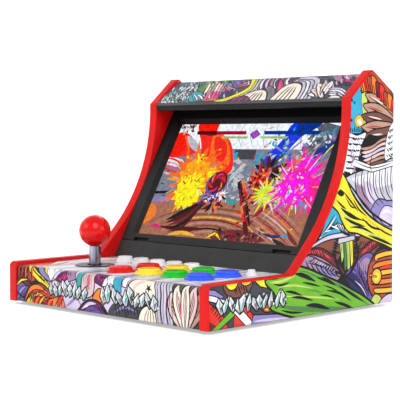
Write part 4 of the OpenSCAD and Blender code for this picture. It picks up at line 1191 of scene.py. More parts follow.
def front_right(art):
    """Front, right of the middle: cyan stripe, cream forms and pale curved bands."""
    art.poly("cyan", [(20, 47), (33, 47), (32, 26), (22, 26)], 0.9, "navy")
    art.stroke("teal", [(29, 46), (28.5, 36), (28, 28)], 2.4)
    art.poly("white", [(34, 47), (46, 47), (40, 32), (35, 33)], 0.9)
    art.blob("cream", [(44, 24), (46, 36), (56, 44), (72, 45), (86, 40), (88, 26), (72, 18), (54, 18)], 1.1)
    art.burst("ink", (75, 34), 2.0, 5.6, 5, turn=0.3, wild=0.1)
    art.stroke("blush", [(50, 26), (56, 36), (68, 41)], 4.0)
    art.blob("slate", [(14, -4), (18, 12), (40, 18), (62, 14), (66, -4)])
    art.stroke("violet", [(22, 4), (38, 11), (56, 8)], 3.0)
    art.hatch("ink", (20, 10), (60, 12), 8, (3, -9), 1.8)
    art.blob("cream", [(62, -4), (64, 10), (76, 16), (88, 12), (92, -4)], 1.0)
    art.row(("ink",), 4, [(68, -2, 5, 0), (70, 6, 4, 0), (74, 13, 2, 0)], 1.0)
    bands = [(84, 47, 8.5, 0), (90, 32, 8.5, 0), (89, 14, 8.5, 0), (92, -3, 8.5, 0)]
    art.row(("mist", "lilac"), 3, bands, 8.0, 0.8, 0.8, 0.8)
    art.poly("slate", [(112, -2), (150, -2), (150, 47), (108, 47), (114, 22)], 0.8)
    art.hatch("grey", (112, 6), (146, 6), 12, (3, 11), 1.4)
    art.hatch("grey", (112, 28), (148, 30), 12, (3, 11), 1.4)
    stem = Vector((128, -4))
    for tip, bend, width, ink in (
        ((109, 33), -6, 13, "blush"),
        ((148, 34), 6, 13, "tan"),
        ((116, 42), -3, 12, "cream"),
        ((141, 43), 3, 12, "blush"),
        ((129, 46), 0, 11, "cream"),
    ):
        tip = Vector(tip)
        bow = stem.lerp(tip, 0.55) + Vector((bend, 0))
        art.stroke(ink, [stem, bow, tip], width, 0.9, 0.4, 0.1)
        for shift in (-2.2, 0, 2.2):
            art.stroke("ink", [stem, bow + Vector((shift, 0)), tip.lerp(bow, 0.3)], 0.9, 0, 0.4, 0.1)
    art.stroke("pink", [(124, 4), (121, 18), (119, 30)], 2.0)
    art.hatch("ink", (-96, 46), (-72, 46), 7, (4, -7), 0.9)
    art.hatch("ink", (-74, 34), (-54, 42), 8, (4, -5), 1.1)
    art.hatch("mauve", (-60, 2), (-44, 14), 6, (6, 3), 1.2)
    art.hatch("ink", (-30, 40), (-16, 44), 5, (2, -16), 0.9)
    art.hatch("ink", (-6, 42), (8, 44), 6, (3, -7), 1.1)
    art.hatch("ink", (-30, 2), (4, 8), 12, (3, -6), 1.1)
    art.hatch("mist", (6, 34), (22, 44), 6, (5, 5), 1.2)
    art.hatch("ink", (48, 30), (82, 26), 9, (-1, -6), 0.9)
    creases = [(84, 47, 4.4, 0), (88.5, 32, 4.4, 0), (87.5, 14, 4.4, 0), (90, -3, 4.4, 0)]
    art.row(("ink",), 6, creases, 0.9, 0, 0.8, 0.8)
    art.hatch("ink", (-132, 2), (-96, 16), 14, (4, 6), 1.0)
    art.shards((-90, 12), 66, 8, 16.5)
    art.shards((-2, 12), 90, 10, 16.5)


def deck_openings(art, w):
    """Straight cuts where the sheet bends, and the holes for the controls."""
    for k in range(9):
        s = FRONT_H + BEND_L * k / 8
        art.cuts.append(((-w, s), (w, s)))
    for x, y in PLAY_FRONT:
        art.hole(on_deck(x, y), HOLES["play"])
        art.hole(on_deck(x + ROW_STEP[0], y + ROW_STEP[1]), HOLES["play"])
    for k in range(5):
        art.hole(on_deck(MENU_FIRST[0] + k * MENU_PITCH, MENU_FIRST[1]), HOLES["menu"])
    for place, kind in ((SERVICE, "service"), (PILOT, "pilot"), (STICK, "stick")):
        art.hole(on_deck(*place), HOLES[kind])


def deck_art():
    """Artwork that runs up the front and over the deck, as (x, distance from the bottom)."""
    w = INNER_X - FILM_MARGIN
    art = Artwork([(-w, 0), (w, 0), (w, DECK_L), (-w, DECK_L)], "lilac")
    deck_sweeps(art)
    front_left_end(art)
    front_left(art)
    front_right(art)
    deck_openings(art, w)
    return art


# ---- The marquee artwork -----------------------------------------------------------

MARQUEE_L = 46.0


def pleats(art, x, pitch, top):
    """Long ink lines that draw together towards the top of a pale form."""
    lines = [(x, -3, pitch, 0), (x + 1, top / 2, 0.85 * pitch, 0), (x + 4, top, 0.5 * pitch, 0)]
    art.row(("ink",), 4, lines, 2.0, 0, 0.9, 0.1)


def flecks(art, inks, count, field, lead, width):
    """Short strokes scattered over a field (left, right, low, high)."""
    left, right, low, high = field
    for k in range(count):
        x = art.random.uniform(left, right)
        y = art.random.uniform(low, high)
        art.stroke(inks[k % len(inks)], [(x - lead, y + 5), (x + 3 - lead, y), (x + 5, y - 4)], width,
                   0, 0.4, 0.1, 3)


def marquee_left(art):
    """Left: loose silver and teal splinters on grey."""
    art.poly("steel", [(-150, -1), (-80, -1), (-96, 50), (-150, 50)])
    for k in range(44):
        x = -150 + 1.55 * k
        y = art.random.uniform(-4, 40)
        ink = ("silver", "teal", "white", "silver", "cyan", "mist")[k % 6]
        path = [(x, y + 11), (x + 3, y + 4), (x + 11, y - 3)]
        art.stroke("ink", path, 4.4, 0.0, 0.4, 0.3, 3)
        art.stroke(ink, path, 3.0, 0.0, 0.3, 0.2, 3)
    art.shards((-146, 4), 50, 7, 14)
    art.shards((-136, 25), 44, 6, 13)
    for k in range(40):
        x = art.random.uniform(-150, -88)
        y = art.random.uniform(0, 38)
        run = art.random.uniform(6, 12)
        ink = ("ink", "teal", "ink", "white", "slate", "ink", "leaf")[k % 7]
        art.stroke(ink, [(x, y + run), (x + 2, y + 0.4 * run), (x + 6, y - 1)], 1.7, 0, 0.3, 0.1, 3)
    art.blob("teal", [(-102, 20), (-92, 26), (-82, 18), (-74, 6), (-92, 2)], 0.8)
    art.row(("cyan", "white"), 4, [(-101, 19, 4, -1), (-92, 12, 4, 0), (-84, 3, 5, 0)], 2.2, 0.4)


def marquee_forms(art):
    """Green, cream and pink forms."""
    art.blob("leaf", [(-98, 28), (-94, 48), (-70, 48), (-46, 44), (-56, 32), (-80, 22)], 0.8)
    art.row(("lime", "ink"), 6, [(-92, 47, 7, 0), (-88, 40, 7, 0), (-89, 31, 7, 0)], 2.2)
    for k in range(6):
        x = -86 + 5.4 * k
        ink = ("cream", "lime", "tan", "cream", "blush", "tan")[k]
        art.stroke(ink, [(x, 40 + k % 2), (x + 5, 28), (x + 9, 15 - k % 3)], 4.6, 0.8, 0.5, 0.3)
    pinks = ("pink", "magenta", "pink", "rose", "mauve", "pink")
    art.row(pinks, 6, [(-74, 21, 5.6, 0), (-69, 13, 5.6, 0), (-68, 2, 5.6, 0)], 5.2, 0.8, 0.6, 0.5)
    art.blob("violet", [(-52, 30), (-44, 42), (-30, 36), (-32, 18), (-46, 16)], 0.8)
    art.blob("purple", [(-42, 47), (-26, 45), (-16, 38), (-28, 28), (-44, 36)], 0.8)
    art.blob("navy", [(-46, 20), (-38, 26), (-30, 16), (-36, 5), (-46, 8)], 0.8)
    loops = [(-56, 34, 5.5, -1), (-42, 26, 5.5, 2), (-32, 32, 5.5, 2), (-28, 44, 5.5, 0)]
    art.row(("pink", "lilac", "magenta", "mauve", "pink"), 5, loops, 3.4, 0.6)
    art.stroke("cyan", [(-60, 44), (-52, 38), (-44, 46)], 3.0, 0.5)
    art.stroke("orange", [(-68, 2.5), (-52, 4), (-38, 2)], 2.6, 0.4)
    art.hatch("ink", (-56, 14), (-34, 30), 9, (5, -4), 1.2)
    mixed = ("ink", "violet", "blush", "plum", "ink", "pink", "lilac", "leaf")
    flecks(art, mixed, 30, (-82, -18, 6, 44), 3, 1.9)


def marquee_swoosh(art):
    """Curved yellow swoosh and thin pale ribbons."""
    art.stroke("yellow", [(-46, -3), (-28, 3), (-12, 15), (-6, 30), (-16, 48)], 13.0, 1.0, 0.7, 0.5)
    art.stroke("ink", [(-32, 3), (-16, 12), (-9, 28)], 1.4)
    art.stroke("sun", [(-26, 8), (-14, 18), (-10, 32)], 2.4)
    art.stroke("ink", [(-34, -1), (-18, 6), (-6, 18)], 1.2)
    ribbons = [(-13, 10, 5, 3), (-4, 24, 5, 0), (-10, 48, 5, 0)]
    art.row(("lime", "lilac", "white", "blush"), 4, ribbons, 3.2, 0.7, 0.5, 0.6)
    for k in range(13):
        x = 1 + 3.9 * k
        ink = ("mauve", "white", "plum", "lilac", "magenta")[k % 5]
        art.stroke(ink, [(x - 2, 48), (x + 1 - 2 * (k % 2), 37), (x + 7 + 0.6 * k, 22)], 3.2, 0.6)
    art.stroke("magenta", [(30, 42), (38, 30), (45, 18), (50, 8)], 7.0, 0.8)
    art.stroke("pink", [(36, 32), (42, 22), (48, 10)], 2.4)
    art.stroke("grey", [(20, 27), (34, 16), (42, -2)], 8.0, 0.8, 0.7, 0.8)
    art.hatch("ink", (24, 24), (40, 4), 9, (5, 2), 1.0)
    art.blob("cream", [(-10, -4), (-4, 12), (6, 20), (20, 20), (30, 10), (32, -4)], 1.2)
    pleats(art, 6, 6.0, 17)
    art.stroke("blush", [(-4, 6), (2, 14), (10, 17)], 2.4)
    art.blob("plum", [(-26, -4), (-16, 7), (0, 8), (10, -4)], 1.0)
    art.row(("magenta", "ink"), 5, [(-20, -3, 6, 0), (-16, 3, 5, 0), (-10, 7, 4, 0)], 1.8)


def marquee_right(art):
    """Right: large cream forms, pale arcs and a dark ground."""
    art.blob("cream", [(46, -4), (44, 12), (46, 26), (56, 33), (70, 29), (78, 14), (78, -4)], 1.2)
    pleats(art, 51, 6.6, 27)
    art.stroke("blush", [(50, 2), (50, 14), (54, 27)], 2.6)
    for k in range(4):
        r = 5.2 * k
        ink = ("lilac", "white", "mist", "lilac")[k]
        path = [(54 + r * 0.3, 38 + r * 0.35), (70 + r, 36 + r * 0.3), (81 + r, 20), (86 + r, -3)]
        art.stroke(ink, path, 5.2, 0.8, 0.5, 0.8)
        art.stroke("ink", [Vector(p) + Vector((0.8, 0.8)) for p in path[1:]], 0.7)
    root = Vector((118, 2))
    for k, tip in enumerate(((95, 9), (93, 19), (96, 30), (104, 36), (113, 35))):
        tip = Vector(tip)
        bow = root.lerp(tip, 0.55) + Vector((-1, 3))
        art.stroke(("white", "blush", "cream", "blush", "white")[k], [root, bow, tip], 8.0, 0.8, 0.4, 0.1)
        art.stroke("ink", [root, bow, tip.lerp(bow, 0.4)], 1.0, 0, 0.4, 0.1)
    art.hatch("ink", (88, 45), (114, 43), 10, (5, -9), 1.8)
    art.blob("mauve", [(110, 48), (114, 38), (126, 34), (142, 39), (148, 48)], 0.8)
    art.row(("pink", "ink", "lilac"), 5, [(114, 47, 6, 0), (120, 40, 5, 0), (128, 37, 4, 0)], 2.2)
    art.stroke("magenta", [(124, 32), (136, 34), (147, 30)], 3.4, 0.6)
    art.stroke("navy", [(120, 25), (134, 28), (147, 23)], 4.4, 0.6)
    arcs = [(118, 20, 2, -4), (134, 18, 0, -4), (149, 10, 0, -4)]
    art.row(("lilac", "white", "mist", "white"), 4, arcs, 3.4, 0.7)
    art.blob("cream", [(128, -4), (132, 4), (142, 3), (148, -4)], 0.8)
    art.hatch("ink", (108, 20), (122, 2), 9, (5, -5), 1.6)
    art.hatch("grey", (86, 40), (112, 38), 7, (4, 6), 1.2)
    flecks(art, ("ink", "slate", "mist", "ink", "blush", "ink"), 24, (92, 146, 2, 44), 2, 1.5)


def marquee_art():
    """Artwork on the marquee, as (x, distance up the slope)."""
    w = INNER_X - FILM_MARGIN
    art = Artwork([(-w, 0.2), (w, 0.2), (w, MARQUEE_L), (-w, MARQUEE_L)], "slate")
    marquee_left(art)
    marquee_forms(art)
    marquee_swoosh(art)
    marquee_right(art)
    return art


def marquee_place(p):
    """A point of the marquee artwork, on the slope that rises from the visor."""
    across, up = p.x, p.y
    y = VISOR_Y + up * math.cos(MARQUEE_SLOPE) - FILM_LIFT * math.sin(MARQUEE_SLOPE)
    z = MARQUEE_Z + up * math.sin(MARQUEE_SLOPE) + FILM_LIFT * math.cos(MARQUEE_SLOPE)
    return spot(across, y, z)


# ---- The picture on the display ----------------------------------------------------


def picture_ground(art):
    """Sky, stands and floor."""
    art.poly("sky", [(-131, 122), (131, 122), (131, 158), (-131, 158)])
    art.row(("steel",), 6, [(-20, 158, 18, 0), (-24, 140, 20, 0), (-10, 123, 18, 0)], 0.7)
    art.poly("steel", [(82, 120), (131, 118), (131, 152), (104, 158), (92, 150)])
    art.debris(("mist", "teal", "violet", "slate", "sky", "steel"), (106, 134), (13, 9), 70, 3.4)
    art.poly("floor", [(-131, -1), (131, -1), (131, 44), (40, 52), (-40, 50), (-131, 46)])
    for k in range(150):
        x = art.random.uniform(-128, 128)
        y = art.random.uniform(50, 118)
        ink = ("steel", "mist", "teal", "clay", "violet", "slate", "tan", "blush")[k % 8]
        s = art.random.uniform(1.5, 4.6)
        art.poly(ink, [(x, y), (x + s, y + 0.3 * s), (x + 1.3 * s, y + s), (x - 0.4 * s, y + 0.7 * s)])
    art.poly("slate", [(-22, 108), (16, 108), (14, 121), (-20, 121)])
    art.poly("cyan", [(-24, 106), (-12, 108), (-14, 118), (-22, 116)])
    art.poly("cyan", [(16, 106), (26, 106), (24, 116), (18, 117)])
    art.debris(("mist", "silver", "stand"), (2, 80), (9, 10), 60, 5.0)
    art.blob("teal", [(-4, 52), (6, 55), (16, 52), (6, 47)])


def floor_streaks(art):
    """Floor rings and streaks."""
    for k, ink in enumerate(("clay", "tan", "brown", "gold", "maroon", "tan", "clay", "ink", "tan")):
        r = 112 - 11 * k
        turns = (0.1, 0.7, 1.3, 1.9, 2.5, 3.05)
        art.stroke(ink, [(-14 + r * math.cos(a), 3 + 0.34 * r * math.sin(a)) for a in turns], 2.2)
    art.blob("maroon", [(-6, 10), (24, 16), (56, 14), (80, 6), (40, -3), (0, 0)])
    art.stroke("wine", [(-100, 13), (-60, 12), (-20, 14)], 6.0)
    art.stroke("gold", [(-78, 3), (-56, 7), (-32, 4)], 5.0)
    art.stroke("sun", [(-14, 1), (-2, 9), (10, 2)], 3.0)
    art.debris(("wine", "ink", "clay", "crimson", "tan"), (36, 7), (26, 5), 70, 3.0)
    tracks = [(56, 56, 0, -5), (88, 42, 0, -5), (128, 18, 0, -5)]
    art.row(("tan", "crimson", "orange", "blush"), 9, tracks, 1.8)
    art.stroke("crimson", [(46, 22), (54, 40), (72, 54)], 6.0)
    art.stroke("navy", [(70, 14), (88, 11), (104, 13)], 4.0)
    art.stroke("cyan", [(98, 12), (106, 13), (112, 11)], 3.4)
    art.stroke("maroon", [(104, 20), (116, 9), (128, 2)], 5.0)
    art.stroke("ink", [(88, 8), (98, 4), (112, 1)], 5.0)
    art.blob("orange", [(-132, 16), (-118, 22), (-114, 34), (-124, 42), (-132, 40)])
    art.stroke("violet", [(-131, 49), (-112, 50), (-92, 51)], 7.0, 0.0, 0.8, 0.4)
    art.stroke("ink", [(-131, 59), (-110, 60), (-96, 62)], 4.0, 0.0, 0.8, 0.3)
    art.stroke("magenta", [(-116, 12), (-104, 14), (-94, 10)], 5.0)


def red_sweep(art):
    """Red sweep from the upper left with a yellow blast under it."""
    art.poly("white", [(-131, 98), (-131, 112), (-104, 106), (-92, 94)])
    trails = [(-131, 108, 0, -5), (-112, 104, 0, -5), (-92, 92, 0, -4)]
    art.row(("flame", "mist", "pink"), 5, trails, 2.6, 0, 0.8)
    art.blob("flame", [(-132, 112), (-112, 110), (-86, 116), (-92, 130), (-114, 144), (-132, 142)])
    art.stroke("mist", [(-112, 140), (-96, 128), (-82, 118)], 10.0)
    art.stroke("ember", [(-118, 142), (-104, 126), (-96, 112)], 3.0)
    art.debris(("wine", "tan", "clay", "blush"), (-116, 151), (10, 3), 26, 3.0)
    art.blob("flame", [(-100, 158), (-66, 158), (-62, 146), (-36, 134), (-20, 112), (-14, 92), (-30, 84),
                       (-52, 92), (-70, 104), (-82, 128)])
    art.blob("ember", [(-66, 146), (-50, 142), (-30, 122), (-22, 100), (-36, 92), (-54, 102), (-64, 124)])
    art.blob("flame", [(-62, 138), (-42, 132), (-32, 114), (-36, 104), (-50, 112)])
    art.stroke("maroon", [(-92, 148), (-74, 142), (-58, 143)], 4.0)
    art.burst("ember", (-72, 84), 26, 44, 15, wild=0.25)
    art.rays(("ember", "blaze", "tan", "ember"), (-74, 76), 26, 44, 18, 4.0)
    art.burst("blaze", (-72, 80), 24, 33, 13, turn=0.2, wild=0.2)
    art.burst("sun", (-73, 63), 21, 26, 15, turn=0.5, wild=0.1)
    art.burst("sun", (-46, 88), 4, 10, 8, wild=0.3)
    art.burst("sun", (-74, 106), 3, 9, 7, wild=0.3)
    art.debris(("sun", "blaze", "ember", "flame"), (-70, 90), (24, 18), 70, 2.4)
    art.rays(("orange", "clay"), (-72, 66), 12, 24, 7, 1.6)


def spinning_disc(art):
    """A red spinning disc that throws dark streaks to the left and down."""
    for k, ink in enumerate(("ink", "wine", "maroon", "ink", "wine")):
        lift = 7.5 * k
        path = [(-34 - 2 * k, 52 - 0.3 * lift), (-58, 38 - lift * 0.75), (-92 + 3 * k, 22 - lift * 0.5)]
        art.stroke(ink, path, (9, 8, 6, 5, 4)[k], 0.0, 0.9, 0.05)
    art.rays(("crimson", "orange", "wine", "ink", "tan"), (-22, 48), 3, 19, 13, 4.4, 0.2)
    art.disc("purple", (-30, 74), 17, 0.0, 0.92)
    art.disc("wine", (-29, 76), 15)
    art.disc("crimson", (-30, 78), 12, 0.0, 0.8, 30)
    art.disc("wine", (-29, 74), 7)
    for k in range(6):
        swirl = ((13, 1.05 * k), (11, 1.05 * k + 0.5), (7, 1.05 * k + 1.1))
        path = [(-30 + r * math.cos(a), 76 + r * math.sin(a)) for r, a in swirl]
        art.stroke(("flame", "rose", "orange")[k % 3], path, 2.4)
    art.burst("sky", (-14, 60), 4, 9, 8, wild=0.3)
    art.debris(("azure", "white", "crimson", "orange", "ink"), (-28, 54), (15, 6), 60, 2.6)


def blue_sweep(art):
    """Blue sweep from the upper right."""
    art.blob("azure", [(28, 100), (36, 116), (48, 134), (58, 158), (98, 158), (84, 146), (72, 134),
                       (62, 118), (50, 106), (40, 98)])
    art.blob("cobalt", [(66, 158), (100, 158), (84, 144), (70, 140)])
    art.stroke("cobalt", [(104, 112), (114, 121), (130, 130)], 11.0, 0.0, 0.6, 0.8)
    art.stroke("sun", [(118, 114), (124, 124), (130, 131)], 2.0)
    art.debris(("cyan", "azure", "stand", "mist", "cobalt"), (52, 118), (14, 13), 60, 3.4)
    art.rays(("teal", "violet", "azure"), (62, 116), 8, 26, 9, 2.4)


def red_blast(art):
    """A red blast on the right that throws dark streaks down to the floor."""
    art.rays(("ink", "wine", "slate"), (44, 92), 6, 30, 13, 6.0)
    art.burst("flame", (36, 84), 9, 19, 11, wild=0.3)
    art.rays(("crimson", "ember", "wine"), (34, 82), 4, 22, 11, 3.6)
    for k in range(16):
        x = 10 + 2.1 * k
        y = 70 - 3.4 * k + 5 * (k % 3)
        ink = ("ink", "wine", "orange", "maroon", "ink", "flame", "crimson")[k % 7]
        path = [(x - 5, y + 8), (x + 1, y), (x + 9, y - 9 - k % 4)]
        art.stroke(ink, path, 6.2 - 1.1 * (k % 3), 0.0, 0.6, 0.1, 3)
    art.burst("ember", (34, 58), 4, 10, 9, wild=0.3)
    art.debris(("orange", "crimson", "ink", "flame", "tan", "wine"), (30, 66), (11, 17), 90, 2.6)


def magenta_blast(art):
    """Magenta blast on the right."""
    art.burst("acid", (54, 64), 10, 19, 11, wild=0.25)
    art.rays(("acid", "sun", "cream"), (56, 64), 9, 28, 13, 2.6)
    art.burst("blush", (74, 70), 10, 22, 12, wild=0.3)
    for k in range(5):
        path = [(62 + 6 * k, 82 - 2 * k), (76 + 5 * k, 98), (94 + 4 * k, 124 - 3 * k)]
        art.stroke(("orange", "tan", "rose", "blush", "fuchsia")[k], path, 4.6 - 0.4 * k, 0.0, 0.4, 0.1)
    art.burst("rose", (78, 100), 4, 11, 8, wild=0.3)
    art.burst("rose", (97, 78), 23, 33, 15, turn=0.15, wild=0.24)
    art.rays(("rose", "fuchsia", "pink"), (96, 78), 18, 42, 24, 4.0, 0.1)
    art.burst("fuchsia", (94, 72), 19, 27, 13, turn=0.35, wild=0.2)
    art.burst("fuchsia", (98, 106), 4, 11, 8, wild=0.35)
    art.burst("fuchsia", (112, 96), 4, 9, 8, wild=0.35)
    art.stroke("lilac", [(84, 76), (87, 68), (86, 58)], 4.6)
    art.stroke("cyan", [(85, 74), (87, 67), (86, 60)], 1.6)
    art.blob("rose", [(114, 82), (131, 80), (131, 46), (124, 42), (118, 58)])
    art.stroke("violet", [(106, 58), (114, 52), (122, 50)], 6.0)
    art.rays(("fuchsia", "gold", "white", "blush"), (94, 74), 24, 50, 18, 1.2, 0.3)
    art.debris(("fuchsia", "rose", "white", "lilac", "acid", "orange"), (90, 80), (24, 22), 110, 2.2)


def score_bars(art):
    """Score bars with a plain lozenge between them."""
    art.poly("crimson", [(-96, 142), (-12, 142), (-14, 147), (-98, 147)])
    art.poly("wine", [(-96, 142), (-62, 142), (-64, 147), (-98, 147)])
    art.poly("cobalt", [(17, 142), (100, 142), (102, 147), (15, 147)])
    art.poly("meadow", [(-50, 136.5), (-8, 136.5), (-8, 139.5), (-52, 139.5)])
    art.poly("meadow", [(13, 136.5), (54, 136.5), (56, 139.5), (13, 139.5)])
    art.poly("purple", [(-7, 142.5), (2, 135), (11, 142.5), (2, 149)])
    art.poly("fuchsia", [(-2, 142.5), (2, 139), (6, 142.5), (2, 146)])


def picture_art():
    """Bright comets and blasts over a striped floor, as (x, height above the picture's foot)."""
    w = PICTURE_W / 2 - 0.1
    art = Artwork([(-w, 0.1), (w, 0.1), (w, PICTURE_H - 0.1), (-w, PICTURE_H - 0.1)], "stand")
    picture_ground(art)
    floor_streaks(art)
    red_sweep(art)
    spinning_disc(art)
    blue_sweep(art)
    red_blast(art)
    magenta_blast(art)
    score_bars(art)
    return art


def screen_point(x, up, out):
    """A point on the tilted screen plane: across, up the plane and out of it."""
    y = SEAM_Y + up * math.sin(TILT) - out * math.cos(TILT)
    z = SEAM_Z + up * math.cos(TILT) + out * math.sin(TILT)
    return spot(x, y, z)


def picture_place(p):
    """A point of the picture, on the display behind the bezel."""
    return screen_point(p.x, WINDOW_LOW + p.y, -BEZEL_T - 0.02)


# ---- Buttons -----------------------------------------------------------------------


def button_cap(name, node, body, centre, kind, material, slot):
    """A plunger with a rounded edge and a slightly dished top."""
    skirt = -3.0
    radius, height = CAPS[kind]
    points = (
        (0.0, skirt, 0.0),
        (radius, skirt, 0.0),
        (radius, height, radius * 0.16),
        (radius * 0.72, height, 0.4),
        (radius * 0.5, height - 0.22, 0.3),
        (0.0, height - 0.35, 0.0),
    )
    made = lathe(name, points, centre, material, body)
    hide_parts(node)


def buttons(materials):
    """The caps of the play, menu and service buttons."""
    for colour, (x, y) in zip(COLOURS, PLAY_FRONT):
        slot = f"button_{colour}"
        for row, dx, dy in (("front", 0.0, 0.0), ("back", *ROW_STEP)):
            end = f"{row}_{colour}"
            centre = spot(x + dx, y + dy, DECK_Z)
            names = (f"cap_{end}", f"plunger_{end}", f"button_{end}")
            button_cap(*names, centre, "play", materials[slot], slot)
    slot = "button_white"
    for k in range(5):
        centre = spot(MENU_FIRST[0] + k * MENU_PITCH, MENU_FIRST[1], DECK_Z)
        names = (f"cap_menu_{k + 1}", f"menu_plunger_{k + 1}", f"menu_button_{k + 1}")
        button_cap(*names, centre, "menu", materials[slot], slot)
    names = ("cap_service", "service_plunger", "service_button")
    button_cap(*names, spot(*SERVICE, DECK_Z), "service", materials[slot], slot)


# ---- CAD nodes ---------------------------------------------------------------------


def make_materials():
    """One material for each slot of the record."""
    return {
        "side_laminate": side_board("side_board"),
        "trim_red": gloss_plastic("trim_red", (0.80, 0.04, 0.035), 0.34, 0.00002, 0.0),
        "dark_board": powder_coat("dark_board", (0.10, 0.10, 0.10), 0.6),
        "deck_print": powder_coat("deck_sheet", (0.16, 0.16, 0.17), 0.45),
        "bezel_dark": matte_plastic("bezel_dark", (0.19, 0.19, 0.19), 0.5),
        # The visor's own black, made darker still as painted shade for the shadow under the visor.
        "visor_dark": powder_coat("visor_dark", (0.036, 0.036, 0.04), 0.45),
        "marquee_print": matte_plastic("marquee_board", (0.30, 0.30, 0.32), 0.4),
        "top_black": powder_coat("top_black", (0.13, 0.13, 0.14), 0.45),
        "rear_black": powder_coat("rear_black", (0.11, 0.11, 0.12), 0.55),
        "batten_wood": timber("batten_wood", (0.72, 0.56, 0.38)),
        "rubber_black": rubber("rubber_black", (0.09, 0.09, 0.09)),
        "zinc": bare_metal("zinc", (0.78, 0.78, 0.79), 0.32),
        "picture": matte_plastic("picture_back", (0.06, 0.06, 0.07), 0.4),
        "lcd_frame": bare_metal("lcd_frame", (0.74, 0.74, 0.75), 0.4),
        "bracket_steel": bare_metal("bracket_steel", (0.7, 0.7, 0.72), 0.35),
        "speaker_grey": matte_plastic("speaker_grey", (0.2, 0.2, 0.21), 0.6),
        "pcb_green": circuit_board("pcb_green"),
        "component_grey": matte_plastic("component_grey", (0.34, 0.34, 0.36), 0.45),
        "jack_black": matte_plastic("jack_black", (0.09, 0.09, 0.095), 0.42),
        "port_steel": bare_metal("port_steel", (0.8, 0.8, 0.81), 0.28),
        "pot_steel": bare_metal("pot_steel", (0.66, 0.66, 0.67), 0.38),
        "knob_black": matte_plastic("knob_black", (0.10, 0.10, 0.105), 0.38),
        "stick_mount_steel": bare_metal("stick_mount_steel", (0.72, 0.72, 0.74), 0.34),
        "moulded_black": matte_plastic("moulded_black", (0.12, 0.12, 0.13), 0.5),
        "acetal_white": matte_plastic("acetal_white", (0.90, 0.89, 0.85), 0.42),
        "shaft_steel": turned_steel("shaft_steel"),
        "ball_red": gloss_plastic("ball_red", (0.83, 0.045, 0.05), 0.16, 0.00001),
        "washer_black": gloss_plastic("washer_black", (0.07, 0.07, 0.08), 0.3, 0.00001, 0.0),
        "button_red": gloss_plastic("button_red", (0.88, 0.07, 0.08), 0.2),
        "button_yellow": gloss_plastic("button_yellow", (0.99, 0.86, 0.22), 0.2),
        "button_green": gloss_plastic("button_green", (0.10, 0.74, 0.15), 0.2),
        "button_blue": gloss_plastic("button_blue", (0.20, 0.37, 0.98), 0.2),
        "button_white": gloss_plastic("button_white", (0.94, 0.93, 0.94), 0.24),
        "switch_black": matte_plastic("switch_black", (0.10, 0.10, 0.10), 0.5),
        "cable_black": rubber("cable_black", (0.12, 0.13, 0.13)),
    }


BEVELS = {
    "left_side_panel": 0.3,
    "right_side_panel": 0.3,
    "screen_bezel": 0.45,
    "lower_fascia": 0.5,
    "visor": 0.35,
    "marquee_panel": 0.4,
    "top_panel": 0.4,
    "rear_panel": 0.4,
    "rocker_housing": 0.25,
    "power_rocker": 0.3,
    "power_jack": 0.2,
    "usb_ports": 0.15,
    "stick_housing": 0.4,
    "stick_gate": 0.4,
    "rubber_feet": 0.3,
    "base_board": 0.5,
    "red_button_housings": 0.5,
    "yellow_button_housings": 0.5,
    "green_button_housings": 0.5,
    "blue_button_housings": 0.5,
    "menu_button_housings": 0.4,
    "stick_dust_washer": 0.3,
}


def dress_nodes(frame, materials):
    """Gives every CAD node its slot's material, and rounds the hard edges."""
    slots = {s["node"]: s["material_slot"] for s in frame["record"]["subparts"]}
    own = {"screen_bezel": shaded_bezel("bezel_screen")}
    for name, node in frame["nodes"].items():
        node.data.materials.clear()
        node.data.materials.append(own.get(name, materials[slots[name]]))
        if name in BEVELS:
            edge = node.modifiers.new("soft_edge", "BEVEL")
            edge.width = BEVELS[name] * MM
            edge.segments = 2
            edge.limit_method = "ANGLE"
            edge.angle_limit = math.radians(40)
            edge.harden_normals = False


# ---- Stage -------------------------------------------------------------------------


CAMERA_SPOT = (960.2, -812.7, 192.3)
CAMERA_AZIMUTH = math.radians(44.887)
CAMERA_PITCH = math.radians(3.025)
CAMERA_LENS = 106.632


def camera():
    """The photograph's view: from the front right, a little above the deck."""
    data = bpy.data.cameras.new("camera")
    data.sensor_width = 36.0
    data.lens = CAMERA_LENS
    data.clip_start = 0.05
    data.clip_end = 20.0
    made = bpy.data.objects.new("camera", data)
    made.location = spot(*CAMERA_SPOT)
    made.rotation_euler = (math.pi / 2 - CAMERA_PITCH, 0.0, CAMERA_AZIMUTH)
    bpy.context.scene.collection.objects.link(made)
    bpy.context.scene.camera = made


def area_light(name, place, target, size, power):
    """A soft rectangular light aimed at a point."""
    data = bpy.data.lights.new(name, "AREA")
    data.shape = "RECTANGLE"
    data.size, data.size_y = size
    data.energy = power
    made = bpy.data.objects.new(name, data)
    made.location = Vector(place)
    made.rotation_euler = (Vector(target) - Vector(place)).to_track_quat("-Z", "Y").to_euler()
    bpy.context.scene.collection.objects.link(made)


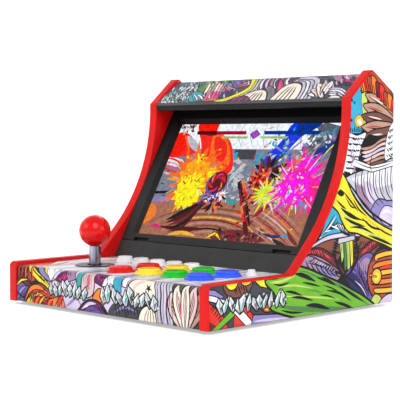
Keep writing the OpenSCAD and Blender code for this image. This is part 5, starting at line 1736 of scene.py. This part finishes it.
def floor():
    """A pale floor that curves up behind the object."""
    bm = bmesh.new()
    reach = 6.0
    flat_end = 2.2
    radius = 1.2
    wall_top = 5.0
    rows = []
    for k in range(13):
        a = math.radians(90 * k / 12)
        rows.append((flat_end + radius * math.sin(a), radius * (1 - math.cos(a))))
    path = [(-reach, 0.0)] + rows + [(flat_end + radius, wall_top)]
    turn = Matrix.Rotation(math.radians(45.0), 3, "Z")
    lines = []
    for y, z in path:
        lines.append([bm.verts.new(turn @ Vector((x, y, z))) for x in (-reach, reach)])
    for a, b in zip(lines, lines[1:]):
        bm.faces.new((a[0], a[1], b[1], b[0]))
    for face in bm.faces:
        face.smooth = True
    mesh = bpy.data.meshes.new("floor")
    bm.to_mesh(mesh)
    bm.free()
    shader = Shader("floor_paper", (0.97, 0.97, 0.97), 0.8)
    mottled(shader, (0.965, 0.965, 0.965), 0.01, 3.0)
    shader.set(Emission_Color=(1.0, 1.0, 1.0, 1.0), Emission_Strength=0.42)
    mesh.materials.append(shader.material)
    made = bpy.data.objects.new("floor", mesh)
    bpy.context.scene.collection.objects.link(made)


def world():
    """Even white light from all round."""
    made = bpy.data.worlds.new("studio")
    made.use_nodes = True
    back = made.node_tree.nodes["Background"]
    back.inputs["Color"].default_value = (1.0, 1.0, 1.0, 1.0)
    back.inputs["Strength"].default_value = 0.6
    bpy.context.scene.world = made
    bpy.context.scene.view_settings.view_transform = "Standard"


def lights():
    """Key, fill, side and rim lights round the object."""
    aim = (0.0, 0.0, 0.12)
    area_light("key", (1.6, -1.2, 1.9), aim, (1.6, 1.6), 33.0)
    area_light("fill", (-1.2, -2.0, 1.2), aim, (1.8, 1.4), 17.0)
    area_light("side", (2.2, 0.6, 0.8), aim, (1.2, 1.2), 11.0)
    area_light("rim", (-0.6, 1.8, 1.6), aim, (1.4, 0.8), 10.0)


# ---- Making ------------------------------------------------------------------------


def main():
    """Loads the frame, dresses it, and adds the pieces and the stage."""
    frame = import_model()
    camera()
    materials = make_materials()
    dress_nodes(frame, materials)
    for side in (-1, 1):
        edge_trim(side, materials["trim_red"])
    film = printed_film("printed_film")
    side_sheets(film)
    art_sheet("art_deck", deck_art(), deck_place, Vector((0, -0.3, 1)), film)
    art_sheet("art_marquee", marquee_art(), marquee_place, Vector((0, -1, 1)), film)
    glow = lit_picture("lit_picture")
    art_sheet("art_picture", picture_art(), picture_place, Vector((0, -1, 1)), glow, 0.03)
    buttons(materials)
    floor()
    world()
    lights()


main()
